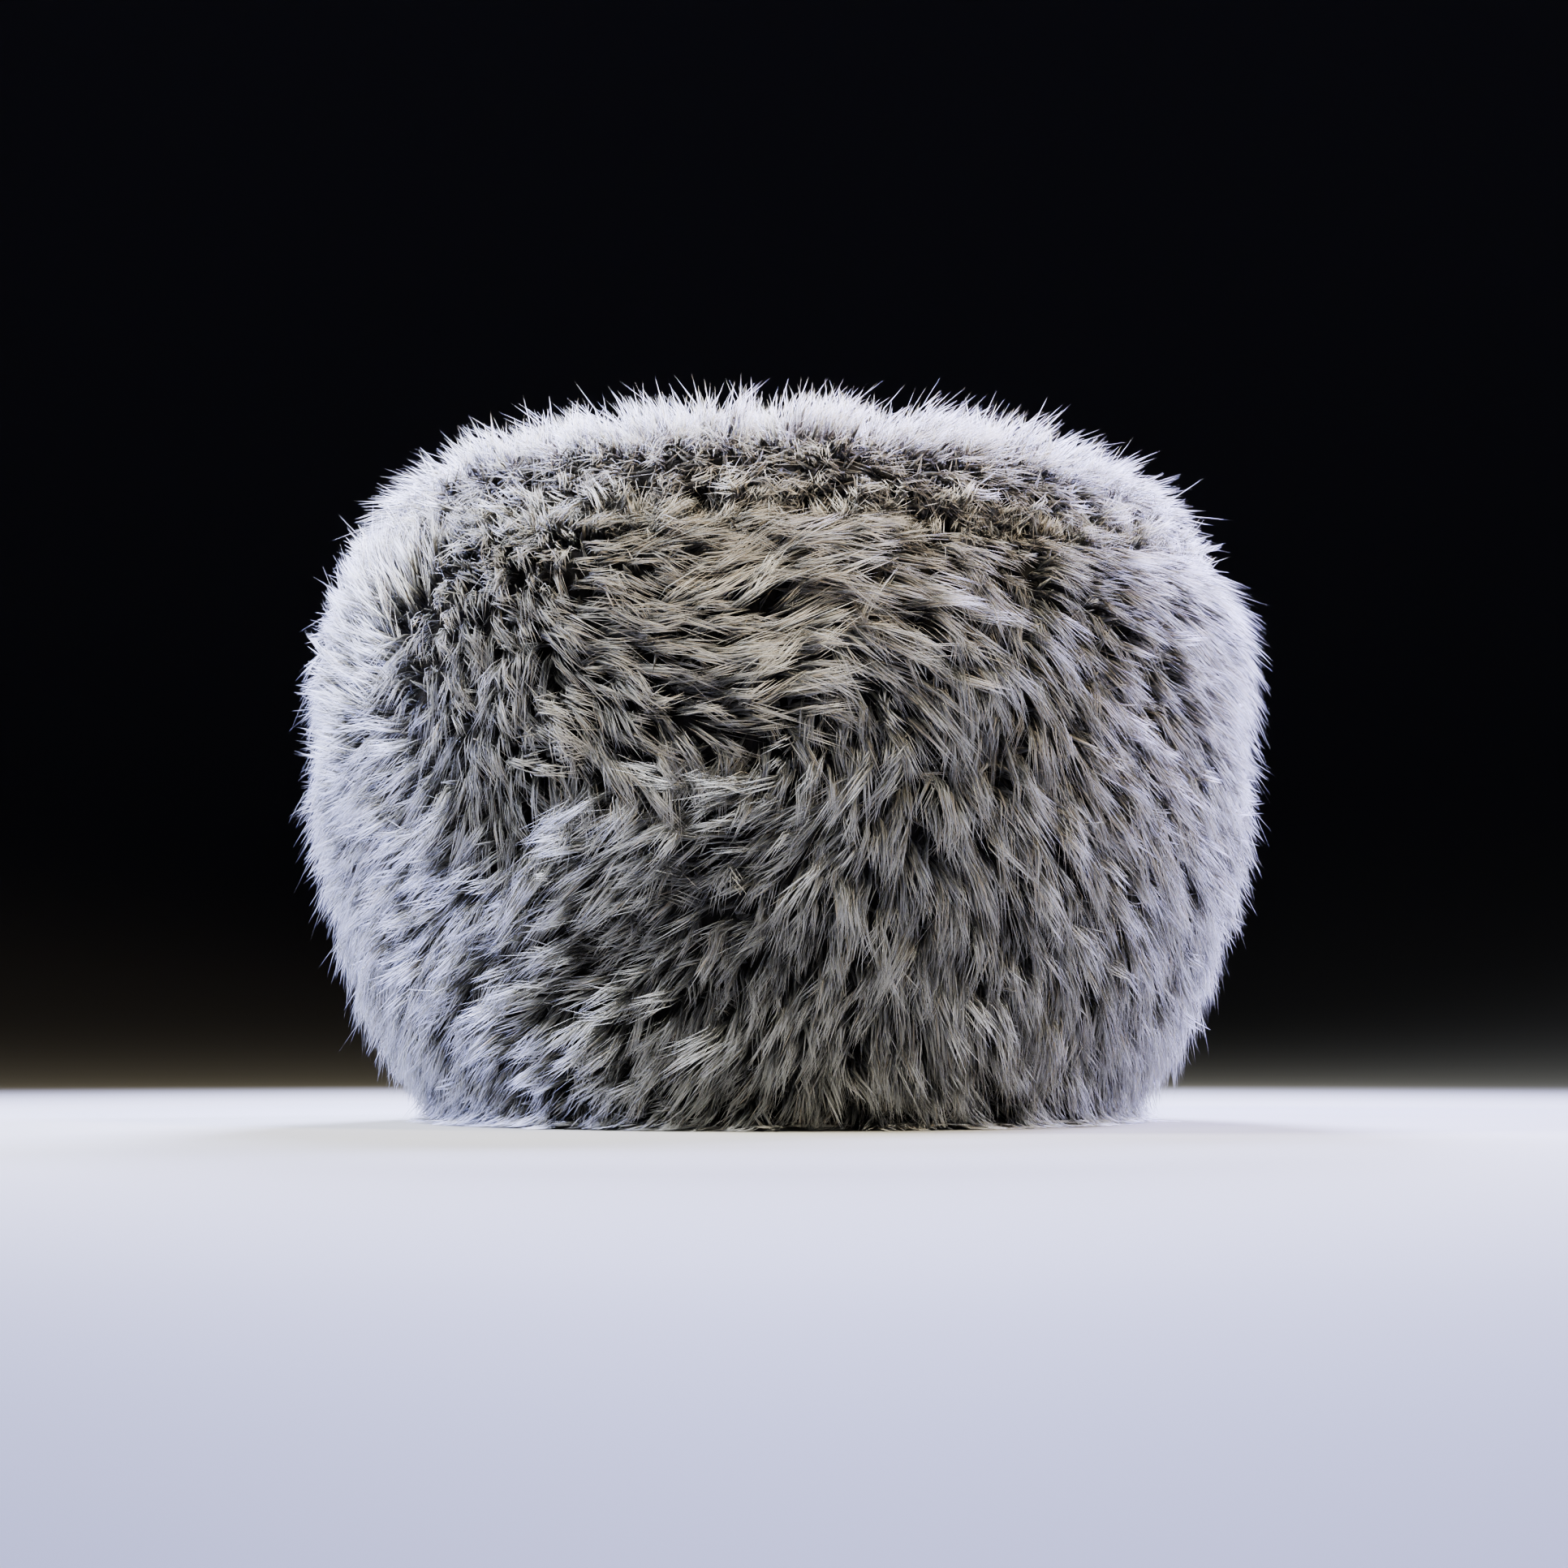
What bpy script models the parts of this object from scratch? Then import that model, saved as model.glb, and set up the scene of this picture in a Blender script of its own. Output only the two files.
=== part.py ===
"""A very full round pillbox hat of long-pile fur, standing on its own rim.

Metres, +Z up. The front of the hat faces -Y and the wearer's left is +X. The origin is on the
floor, under the middle of the hat. The side band, its turned-in rim and the crown are each a
cloth with its deep pile outside. The pile's outer form is a dense body with bent, pointed locks,
pressed flat where the rim rests.
"""

import math
import random

import bmesh
import bpy
from mathutils import Vector, noise

# Driving dimensions
HAT_NAME = "fur_pillbox_hat"
SEAT_GAP = 0.0003
CLOTH = 0.0025
LENGTHEN = 1.04
COLUMNS = 36
GRID = COLUMNS // 4
ROWS = 7
FIRST_COLUMN = (GRID % 2) * math.pi / COLUMNS

# Outer face of the side band's cloth, from the crown seam down to the turned-in rim
SIDE_CLOTH = (
    # radius, height
    (0.1500, 0.2258),
    (0.1575, 0.2050),
    (0.1610, 0.1700),
    (0.1600, 0.1300),
    (0.1520, 0.0862),
)

# Outer face of the rim's cloth, from the side band in to the head opening
RIM_CLOTH = (
    # radius, height
    (0.1515, 0.0852),
    (0.1340, 0.0470),
    (0.1140, 0.0240),
    (0.0960, 0.0150),
)

# Outer face of the crown's cloth, from the middle out to the seam
CROWN_CLOTH = (
    # radius, height
    (0.0000, 0.2480),
    (0.0500, 0.2465),
    (0.1000, 0.2410),
    (0.1350, 0.2335),
    (0.1500, 0.2285),
)

# Dense body of the side pile, from the bottom of the seam's groove down to the rim's pile
SIDE_PILE = (
    # radius, height
    (0.1720, 0.2345),
    (0.1830, 0.2290),
    (0.1895, 0.2120),
    (0.1915, 0.1800),
    (0.1915, 0.1500),
    (0.1900, 0.1200),
    (0.1790, 0.0780),
    (0.1640, 0.0400),
    (0.1510, 0.0140),
    (0.1431, 0.0015),
)
SIDE_PILE_HEM = (0.13448, 0.04733)
BROADEST = 0.1915
HIGHEST = 0.3100
MIDDLE = Vector((0.0, 0.0, 0.1300))

# Flat ring of the rim's pile that the hat rests on: its inner and outer edge
RIM_FLOOR = (
    # radius, height
    (0.0965, 0.0000),
    (0.1428, 0.0000),
)

# Dense body of the crown pile, from the middle out over its edge, and its hem in the seam's groove
CROWN_PILE = (
    # radius, height
    (0.0000, 0.2830),
    (0.0450, 0.2825),
    (0.0900, 0.2800),
    (0.1350, 0.2755),
    (0.1600, 0.2685),
    (0.1780, 0.2560),
)
CROWN_HEM = (0.1720, 0.2352)

# Locks: how far the tips stand off and lie along, and the waist between root and tip
SIDE_RISE = 0.0165
CROWN_RISE = 0.021
LOCK_SWEEP = 0.034
LOCK_RANGE = (0.82, 1.18)
LOCK_SPREAD = 0.22
TIP_REACH = 0.2115
WAIST_SIZE = 0.60
WAIST_RISE = 0.62
WAIST_SWEEP = 0.34
FOOT_HEIGHT = 0.060
FOOT_RISE = 0.30
FLOOR_CLEAR = 0.0015
GROOVE_HEIGHT = 0.022
GROOVE_RISE = 0.35
CROWN_SWEEP = 0.55
CROWN_CALM = 0.30
CROWN_TURN = 0.30

# Slow swellings and hollows of the pile, and the uneven spacing of its locks
SWELL_DEPTH = 0.0045
SWELL_SIZE = 0.085
SIDE_STIR = 0.0050
CROWN_STIR = 0.0080

# Where the fur is combed to, place by place: its tips point across the hat (+ is toward the
# wearer's left from the front) and up it
COMBING = (
    # azimuth, height, across, up
    (-54, 0.039, -0.70, -0.70),
    (-15, 0.090, -0.75, -0.66),
    (-5, 0.135, -0.80, -0.60),
    (-20, 0.185, -0.60, 0.25),
    (6, 0.182, 0.64, -0.77),
    (24, 0.182, 0.98, -0.20),
    (25, 0.150, 0.97, -0.10),
    (5, 0.097, -0.85, -0.53),
    (23, 0.079, -0.90, -0.35),
    (34, 0.130, -0.80, -0.35),
    (47, 0.155, 0.30, -0.95),
    (40, 0.079, -0.30, -0.95),
    (54, 0.045, -0.20, -0.97),
    (38, 0.029, -0.45, -0.90),
    (68, 0.081, 0.25, -0.97),
    (83, 0.104, 0.55, -0.84),
    (98, 0.128, 0.70, -0.60),
    (128, 0.065, 0.50, -0.86),
    (133, 0.018, 0.15, -0.99),
    (64, 0.202, 0.50, -0.86),
    (52, 0.204, 0.75, -0.66),
    (38, 0.202, 0.90, -0.40),
    (180, 0.190, -0.25, -0.95),
    (-140, 0.120, 0.20, -0.97),
    (-95, 0.150, -0.40, -0.90),
)

# Materials: colour, roughness, metallic
CLOTH_LOOK = ((0.075, 0.075, 0.085), 0.95, 0.0)
SIDE_FUR_LOOK = ((0.36, 0.37, 0.38), 0.85, 0.0)
CROWN_FUR_LOOK = ((0.42, 0.42, 0.44), 0.85, 0.0)

# How far one row's combing fades into the next row's
COMB_BLEND = 0.006

SEED = 11
TOUCH = 0.00001
SHARP_ANGLE = math.radians(40.0)
LOCK_NUMBER = "lock"
UP = Vector((0.0, 0.0, 1.0))


def clear_scene():
    for thing in list(bpy.data.objects):
        bpy.data.objects.remove(thing, do_unlink=True)


def make_collection(name):
    collection = bpy.data.collections.new(name)
    bpy.context.scene.collection.children.link(collection)
    return collection


def make_material(name, look):
    colour, roughness, metallic = look
    material = bpy.data.materials.new(name)
    material.use_nodes = True
    shader = material.node_tree.nodes["Principled BSDF"]
    shader.inputs["Base Color"].default_value = (*colour, 1.0)
    shader.inputs["Roughness"].default_value = roughness
    shader.inputs["Metallic"].default_value = metallic
    return material


def add_piece(name, mesh, look, collection):
    mesh.materials.append(make_material(name + "_look", look))
    piece = bpy.data.objects.new(name, mesh)
    collection.objects.link(piece)
    return piece


def offset_profile(profile, distance):
    """Moves a profile to its right-hand side, as seen when walking along it."""
    moved = []
    for index, point in enumerate(profile):
        before = Vector(profile[max(index - 1, 0)])
        after = Vector(profile[min(index + 1, len(profile) - 1)])
        along = (after - before).normalized()
        side = Vector((-along.y, along.x))
        moved.append(Vector(point) + side * distance)
    return moved


def profile_height(profile, radius):
    """Reads a profile's height at a radius, with straight runs between its points."""
    for (inner, low), (outer, high) in zip(profile, profile[1:]):
        if radius <= outer:
            share = (radius - inner) / (outer - inner)
            return low + (high - low) * share
    return profile[-1][1]


def profile_at(profile, share):
    """Gives the point at a share of a profile's whole length."""
    points = [Vector(point) for point in profile]
    lengths = [(b - a).length for a, b in zip(points, points[1:])]
    wanted = share * sum(lengths)
    for start, end, length in zip(points, points[1:], lengths):
        if wanted <= length:
            return start.lerp(end, wanted / length)
        wanted -= length
    return points[-1]


def spin_profile(bm, profile):
    """Turns a profile of (radius, height) right round the upright axis and gives its faces."""
    start = Vector((math.cos(FIRST_COLUMN), math.sin(FIRST_COLUMN), 0.0))
    verts = [bm.verts.new(start * radius + UP * height) for radius, height in profile]
    edges = [bm.edges.new(pair) for pair in zip(verts, verts[1:])]
    before = set(bm.faces)
    bmesh.ops.spin(
        bm,
        geom=verts + edges,
        cent=(0.0, 0.0, 0.0),
        axis=(0.0, 0.0, 1.0),
        angle=2.0 * math.pi,
        steps=COLUMNS,
        use_merge=True,
    )
    return [face for face in bm.faces if face not in before]


def round_grid(bm, profile):
    """Adds a square grid pulled into a round, with a profile's heights, and gives its faces."""
    before = set(bm.faces)
    made = bmesh.ops.create_grid(bm, x_segments=GRID, y_segments=GRID, size=1.0)
    radius = profile[-1][0]
    for vert in made["verts"]:
        reach, angle = square_to_round(vert.co.x, vert.co.y)
        place = reach * radius
        vert.co = Vector((math.cos(angle), math.sin(angle), 0.0)) * place
        vert.co.z = profile_height(profile, place)
    return [face for face in bm.faces if face not in before]


def square_to_round(x, y):
    """Gives the reach and the angle in a round of a point in the square from -1 to 1."""
    if max(abs(x), abs(y)) < TOUCH:
        return 0.0, 0.0
    if abs(x) >= abs(y):
        angle = 0.25 * math.pi * y / x
        return abs(x), angle if x > 0.0 else angle + math.pi
    angle = 0.5 * math.pi - 0.25 * math.pi * x / y
    return abs(y), angle if y > 0.0 else angle + math.pi


def outward(place):
    """Gives the level direction away from the upright axis."""
    away = Vector((place.x, place.y, 0.0))
    return away.normalized()


def comb_direction(place):
    """Gives where the tips point at a place on the side, as across and up."""
    azimuth = math.atan2(place.x, -place.y)
    across = 0.0
    up = 0.0
    for row_azimuth, row_height, row_across, row_up in COMBING:
        turn = azimuth - math.radians(row_azimuth)
        turn = math.atan2(math.sin(turn), math.cos(turn))
        gap = math.hypot(turn * BROADEST, place.z - row_height)
        weight = 1.0 / (gap + COMB_BLEND) ** 3
        across += row_across * weight
        up += row_up * weight
    size = math.hypot(across, up)
    return across / size, up / size


def side_lay(place, normal):
    """Gives the level-and-down direction that the side's locks are combed to."""
    across, up = comb_direction(place)
    left = UP.cross(outward(place))
    lay = left * across + UP * up
    return (lay - normal * lay.dot(normal)).normalized()


def crown_lay(place, normal):
    """Gives the direction of the crown's locks, which fan out from its middle with a slow turn."""
    away = outward(place)
    turned = away + UP.cross(away) * CROWN_TURN
    lay = turned - normal * turned.dot(normal)
    reach = math.hypot(place.x, place.y) / CROWN_PILE[-1][0]
    return lay.normalized() * (CROWN_SWEEP * min(1.0, CROWN_CALM + reach))


def swell(place):
    """Gives the pile's slow rise or fall in depth at a place."""
    return SWELL_DEPTH * noise.noise(place / SWELL_SIZE)


def make_lozenges(bm, faces):
    """Recuts a field of four-sided faces into staggered lozenges and gives all its faces."""
    field = set(faces)
    rest = set(bm.faces) - field
    shared = [edge for edge in bm.edges if len(edge.link_faces) == 2]
    inner = [edge for edge in shared if field.issuperset(edge.link_faces)]
    bmesh.ops.poke(bm, faces=faces)
    bmesh.ops.dissolve_edges(bm, edges=inner, use_verts=False, use_face_split=False)
    return [face for face in bm.faces if face not in rest]


def grow_locks(bm, cells, rise, lay_rule, foot_rule, levels, chance):
    """Draws each cell out into a bent lock with a waist and a pointed tip, between two levels."""
    lowest, highest = levels
    number = bm.faces.layers.int[LOCK_NUMBER]
    plans = []
    for index, face in enumerate(sorted(cells, key=place_key)):
        face[number] = index
        middle = face.calc_center_median()
        normal = face.normal.copy()
        lay = lay_rule(middle, normal)
        lay += normal.cross(lay) * chance.uniform(-LOCK_SPREAD, LOCK_SPREAD)
        foot = foot_rule(middle)
        height = normal * (rise * foot * chance.uniform(*LOCK_RANGE))
        sweep = lay * (LOCK_SWEEP * foot * chance.uniform(*LOCK_RANGE))
        plans.append((middle, height, sweep))
    waists = bmesh.ops.extrude_discrete_faces(bm, faces=cells)["faces"]
    for face in waists:
        middle, height, sweep = plans[face[number]]
        waist = middle + height * WAIST_RISE + sweep * WAIST_SWEEP
        for vert in face.verts:
            vert.co = waist + (vert.co - middle) * WAIST_SIZE
            vert.co.z = min(max(vert.co.z, lowest), highest)
    for vert in bmesh.ops.poke(bm, faces=waists)["verts"]:
        middle, height, sweep = plans[vert.link_faces[0][number]]
        vert.co = keep_in_reach(middle + height + sweep)
        vert.co.z = min(max(vert.co.z, lowest + FLOOR_CLEAR), highest - FLOOR_CLEAR)


def keep_in_reach(place):
    """Brings a tip back to the pile's greatest reach from the upright axis."""
    reach = math.hypot(place.x, place.y)
    if reach > TIP_REACH:
        place = place - outward(place) * (reach - TIP_REACH)
    return place


def place_key(face):
    """Puts faces in an order that depends only on where they are."""
    middle = face.calc_center_median()
    return round(middle.z, 5), round(middle.x, 5), round(middle.y, 5)


def side_foot(place):
    """Shortens the side's locks towards the floor."""
    return min(1.0, FOOT_RISE + (1.0 - FOOT_RISE) * place.z / FOOT_HEIGHT)


def crown_foot(place):
    """Shortens the crown's locks towards the seam's groove."""
    above = (place.z - CROWN_HEM[1]) / GROOVE_HEIGHT
    return min(1.0, GROOVE_RISE + (1.0 - GROOVE_RISE) * above)


def lengthen(bm):
    """Makes the round an oval, longer from front to back."""
    for vert in bm.verts:
        vert.co.y *= LENGTHEN


def finish_mesh(name, bm):
    """Closes up a built mesh, turns its faces outward and gives it as mesh data."""
    bmesh.ops.remove_doubles(bm, verts=bm.verts, dist=TOUCH)
    lengthen(bm)
    bmesh.ops.triangulate(bm, faces=[face for face in bm.faces if len(face.verts) > 4])
    bmesh.ops.recalc_face_normals(bm, faces=bm.faces)
    mesh = bpy.data.meshes.new(name)
    bm.to_mesh(mesh)
    bm.free()
    mesh.shade_smooth()
    mesh.set_sharp_from_angle(angle=SHARP_ANGLE)
    return mesh


def add_thickness(piece):
    """Gives an open sheet its cloth's thickness, on its inner side."""
    shell = piece.modifiers.new("cloth", "SOLIDIFY")
    shell.thickness = CLOTH
    shell.offset = -1.0


def build_cloth_wall(name, profile, collection):
    """A round wall of cloth: the side band's bulging wall, or the rim turned in under it."""
    bm = bmesh.new()
    spin_profile(bm, profile)
    mesh = finish_mesh(name, bm)
    turn_outward(mesh)
    add_thickness(add_piece(name, mesh, CLOTH_LOOK, collection))


def build_crown_top(collection):
    """The crown's cloth: a low domed round."""
    bm = bmesh.new()
    round_grid(bm, CROWN_CLOTH)
    mesh = finish_mesh("crown_top", bm)
    turn_outward(mesh)
    add_thickness(add_piece("crown_top", mesh, CLOTH_LOOK, collection))


def turn_outward(mesh):
    """Turns an open sheet's faces away from the inside of the hat."""
    face = mesh.polygons[0]
    if face.normal.dot(face.center - MIDDLE) < 0.0:
        mesh.flip_normals()


def build_side_fur(collection, chance):
    """The side band's pile: locks outside, down to the rim's pile, and the cloth's form inside."""
    bm = bmesh.new()
    bm.faces.layers.int.new(LOCK_NUMBER)
    outer = [profile_at(SIDE_PILE, row / ROWS) for row in range(ROWS)]
    outer.append(Vector(SIDE_PILE[-1]))
    faces = spin_profile(bm, outer)
    swell_pile(bm)
    stir_pile(bm, SIDE_STIR, chance)
    face_away(bm)
    cells = make_lozenges(bm, faces)
    levels = (FLOOR_CLEAR, SIDE_PILE[0][1])
    grow_locks(bm, cells, SIDE_RISE, side_lay, side_foot, levels, chance)
    cloth = offset_profile(SIDE_CLOTH, SEAT_GAP)
    inner = [Vector(SIDE_PILE[-1]), Vector(SIDE_PILE_HEM)]
    inner += list(reversed(cloth))
    inner.append(Vector(SIDE_PILE[0]))
    spin_profile(bm, inner)
    add_piece("side_fur", finish_mesh("side_fur", bm), SIDE_FUR_LOOK, collection)


def build_rim_fur(collection):
    """The rim's pile: pressed flat on the floor, and up to the rim's cloth above."""
    bm = bmesh.new()
    cloth = offset_profile(RIM_CLOTH, SEAT_GAP)[1:]
    spin_profile(bm, [*RIM_FLOOR, *cloth, RIM_FLOOR[0]])
    add_piece("rim_fur", finish_mesh("rim_fur", bm), SIDE_FUR_LOOK, collection)


def build_crown_fur(collection, chance):
    """The crown's pile: locks over a low dome, the cloth's form underneath."""
    bm = bmesh.new()
    bm.faces.layers.int.new(LOCK_NUMBER)
    round_grid(bm, CROWN_PILE)
    spin_profile(bm, (CROWN_PILE[-1], CROWN_HEM))
    bmesh.ops.remove_doubles(bm, verts=bm.verts, dist=TOUCH)
    swell_pile(bm)
    stir_pile(bm, CROWN_STIR, chance)
    face_away(bm)
    cells = make_lozenges(bm, list(bm.faces))
    levels = (CROWN_HEM[1], HIGHEST)
    grow_locks(bm, cells, CROWN_RISE, crown_lay, crown_foot, levels, chance)
    under = [(radius, height + SEAT_GAP) for radius, height in CROWN_CLOTH]
    round_grid(bm, under)
    spin_profile(bm, (under[-1], CROWN_HEM))
    add_piece("crown_fur", finish_mesh("crown_fur", bm), CROWN_FUR_LOOK, collection)


def swell_pile(bm):
    """Moves the free surface of a pile in and out, but not the loops that it is closed at."""
    for vert in bm.verts:
        if vert.is_boundary:
            continue
        away = (vert.co - MIDDLE).normalized()
        vert.co += away * swell(vert.co)


def stir_pile(bm, most, chance):
    """Moves the free vertices of a pile's surface along it, so that no two locks are alike."""
    bm.normal_update()
    for vert in sorted(bm.verts, key=vert_key):
        push = Vector([chance.uniform(-most, most) for _ in range(3)])
        if not vert.is_boundary:
            vert.co += push - vert.normal * push.dot(vert.normal)


def vert_key(vert):
    return tuple(round(part, 5) for part in vert.co)


def face_away(bm):
    """Turns an open surface's faces away from the middle of the hat."""
    bmesh.ops.recalc_face_normals(bm, faces=bm.faces)
    bm.faces.ensure_lookup_table()
    face = bm.faces[0]
    if face.normal.dot(face.calc_center_median() - MIDDLE) < 0.0:
        bmesh.ops.reverse_faces(bm, faces=bm.faces)
    bm.normal_update()


def main():
    clear_scene()
    chance = random.Random(SEED)
    hat = make_collection(HAT_NAME)
    build_cloth_wall("side_band", SIDE_CLOTH, hat)
    build_cloth_wall("rim_band", RIM_CLOTH, hat)
    build_crown_top(hat)
    build_side_fur(hat, chance)
    build_rim_fur(hat)
    build_crown_fur(hat, chance)


main()
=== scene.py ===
"""Dresses the fur pillbox hat: knitted backing cloth, dark underfur and long combed locks of pile.

Metres, +Z up. The front of the hat faces -Y and the wearer's left is +X. An azimuth turns from the
front toward the wearer's left. Profiles are tables of radius and height, turned into an oval that
is a little longer from front to back.
"""

import math
from collections import namedtuple

import bmesh
import bpy
import numpy as np
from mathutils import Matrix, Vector, kdtree, noise


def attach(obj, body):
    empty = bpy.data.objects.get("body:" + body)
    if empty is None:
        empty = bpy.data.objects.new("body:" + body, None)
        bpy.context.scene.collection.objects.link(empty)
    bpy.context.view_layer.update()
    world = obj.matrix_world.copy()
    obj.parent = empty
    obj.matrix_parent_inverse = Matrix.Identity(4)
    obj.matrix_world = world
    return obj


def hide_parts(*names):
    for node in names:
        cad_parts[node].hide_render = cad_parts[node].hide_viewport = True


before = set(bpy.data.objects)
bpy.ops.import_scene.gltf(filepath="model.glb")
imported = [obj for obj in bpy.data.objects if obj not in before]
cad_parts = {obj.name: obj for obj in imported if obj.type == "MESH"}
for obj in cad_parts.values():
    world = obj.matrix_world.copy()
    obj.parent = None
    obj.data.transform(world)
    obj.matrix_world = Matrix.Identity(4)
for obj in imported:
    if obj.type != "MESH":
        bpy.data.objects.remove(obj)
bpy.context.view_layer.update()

# Sizes and numbers shared by the whole hat
LENGTHEN = 1.04
CLOTH = 0.0025
MIDDLE = Vector((0.0, 0.0, 0.13))
FULL_TURN = 2.0 * math.pi
ROUND_STEPS = 96
TOUCH = 0.00001
ORDER_DIGITS = 6
SEED = 23

# Cloth: the spacing of its rows, how wide a hole is closed, and its rounded cut edges
CLOTH_STEP = 0.008
CLOTH_HOLE = 0.01
CLOTH_ROUNDING = 0.3 * CLOTH
CLOTH_ROUND_STEPS = 2
CLOTH_RIM_ANGLE = math.radians(60.0)

# Underfur: the spacing of its rows, how its outer face is rumpled, and what counts as that face
UNDERFUR_STEP = 0.007
RUMPLE_DEPTH = 0.003
RUMPLE_SIZE = 0.012
RUMPLE_FINE = 0.4
RUMPLE_FINE_SHARE = 0.5
OUTER_FACE = 0.3

# Outer face of the side band's cloth, from the crown seam down to the turned-in rim
SIDE_CLOTH = (
    # radius, height, as in every profile
    (0.1500, 0.2258),
    (0.1575, 0.2050),
    (0.1610, 0.1700),
    (0.1600, 0.1300),
    (0.1520, 0.0862),
)

# Outer face of the rim's cloth, from the side band in to the head opening
RIM_CLOTH = (
    (0.1515, 0.0852),
    (0.1340, 0.0470),
    (0.1140, 0.0240),
    (0.0960, 0.0150),
)

# Outer face of the crown's cloth, from the middle out to the seam
CROWN_CLOTH = (
    (0.0010, 0.2480),
    (0.0500, 0.2465),
    (0.1000, 0.2410),
    (0.1350, 0.2335),
    (0.1500, 0.2285),
)

# Underfur of the side: its outer face down to the rim's pile, and its face on the cloth
SIDE_UNDERFUR = (
    (0.1690, 0.2325),
    (0.1790, 0.2265),
    (0.1845, 0.2110),
    (0.1864, 0.1800),
    (0.1864, 0.1500),
    (0.1848, 0.1200),
    (0.1738, 0.0790),
    (0.1592, 0.0420),
    (0.1478, 0.0165),
    (0.1437, 0.0030),
)
SIDE_BACK = (
    (0.1350, 0.0478),
    (0.1526, 0.0862),
    (0.1604, 0.1300),
    (0.1614, 0.1700),
    (0.1579, 0.2051),
    (0.1504, 0.2262),
)

# Underfur of the rim, right round its section, with its flat foot first
RIM_UNDERFUR = (
    (0.0985, 0.0036),
    (0.1150, 0.0032),
    (0.1300, 0.0032),
    (0.1420, 0.0036),
    (0.1405, 0.0150),
    (0.1370, 0.0330),
    (0.1341, 0.0462),
    (0.1142, 0.0236),
    (0.0970, 0.0145),
)

# Underfur of the crown: its outer face down into the seam's groove, and its face on the cloth
CROWN_UNDERFUR = (
    (0.0010, 0.2780),
    (0.0450, 0.2775),
    (0.0900, 0.2752),
    (0.1340, 0.2708),
    (0.1570, 0.2640),
    (0.1725, 0.2530),
    (0.1700, 0.2375),
)
CROWN_BACK = (
    (0.1503, 0.2292),
    (0.1350, 0.2340),
    (0.1000, 0.2414),
    (0.0500, 0.2469),
    (0.0010, 0.2484),
)

# Skins that the locks grow from, a little under the underfur's face
SIDE_SKIN = (
    (0.1680, 0.2325),
    (0.1785, 0.2255),
    (0.1838, 0.2105),
    (0.1856, 0.1800),
    (0.1856, 0.1500),
    (0.1840, 0.1200),
    (0.1730, 0.0792),
    (0.1584, 0.0424),
    (0.1470, 0.0172),
    (0.1432, 0.0050),
)
CROWN_SKIN = (
    (0.0000, 0.2770),
    (0.0450, 0.2765),
    (0.0900, 0.2742),
    (0.1335, 0.2698),
    (0.1560, 0.2630),
    (0.1710, 0.2520),
    (0.1685, 0.2385),
)
SHOULDER_SKIN = (
    (0.1400, 0.2688),
    (0.1560, 0.2640),
    (0.1710, 0.2525),
    (0.1685, 0.2385),
)
SEAM_SKIN = (
    (0.1715, 0.2500),
    (0.1690, 0.2385),
    (0.1690, 0.2330),
    (0.1780, 0.2265),
)
RIM_SKIN = (
    (0.1455, 0.0034),
    (0.1300, 0.0031),
    (0.1150, 0.0031),
    (0.0990, 0.0034),
)

# Where the side's fur is combed to, place by place: across the hat (+ is toward the wearer's left
# from the front) and up it
COMBING = (
    # azimuth, height, across, up
    (-49, 0.041, -0.56, -0.83),
    (-38, 0.008, -0.56, -0.83),
    (-33, 0.073, -0.67, -0.74),
    (-23, 0.049, -0.62, -0.78),
    (-13, 0.029, -0.66, -0.75),
    (-8, 0.075, -0.72, -0.70),
    (0, 0.053, -0.70, -0.72),
    (8, 0.075, -0.88, -0.47),
    (17, 0.090, -0.95, -0.31),
    (-1, 0.099, -0.74, -0.67),
    (-10, 0.125, -0.89, -0.46),
    (-6, 0.142, -0.95, -0.32),
    (-20, 0.187, -0.77, 0.60),
    (-15, 0.211, -0.47, 0.80),
    (-1, 0.185, 0.86, -0.51),
    (8, 0.185, 0.60, -0.80),
    (7, 0.221, 0.62, -0.78),
    (14, 0.170, 0.77, -0.63),
    (17, 0.199, 0.96, -0.29),
    (20, 0.226, 0.97, -0.24),
    (10, 0.142, 0.97, -0.26),
    (22, 0.157, 0.99, -0.15),
    (29, 0.187, 1.00, -0.04),
    (38, 0.194, 0.98, 0.17),
    (36, 0.172, 0.83, 0.56),
    (47, 0.206, 0.90, -0.43),
    (19, 0.120, -0.97, -0.24),
    (31, 0.120, -0.99, -0.12),
    (38, 0.128, -0.96, -0.27),
    (25, 0.077, -0.87, -0.49),
    (48, 0.128, -0.47, -0.88),
    (42, 0.095, -0.38, -0.93),
    (37, 0.069, -0.43, -0.90),
    (49, 0.063, -0.50, -0.87),
    (49, 0.029, 0.12, -0.99),
    (53, 0.088, -0.17, -0.99),
    (55, 0.120, 0.26, -0.97),
    (62, 0.043, -0.11, -0.99),
    (69, 0.083, 0.48, -0.88),
    (70, 0.047, 0.18, -0.98),
    (64, 0.162, -0.34, -0.94),
    (61, 0.194, 0.38, -0.92),
    (54, 0.206, 0.95, -0.32),
    (74, 0.216, 0.25, -0.97),
    (80, 0.157, 0.62, -0.78),
    (86, 0.116, 0.46, -0.89),
    (84, 0.194, 0.76, -0.65),
    (101, 0.079, 0.32, -0.95),
    (97, 0.020, 0.25, -0.97),
    (118, 0.111, 0.63, -0.77),
    (114, 0.160, 0.81, -0.59),
    (144, 0.041, 0.08, -1.00),
    (180, 0.190, -0.25, -0.95),
    (-140, 0.120, 0.20, -0.97),
    (-95, 0.150, -0.40, -0.90),
)

# How far one row's combing fades into the next, how sharply, and the radius that gaps are taken at
COMB_BLEND = 0.013
COMB_FALL = 3
COMB_RADIUS = 0.1915

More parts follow.
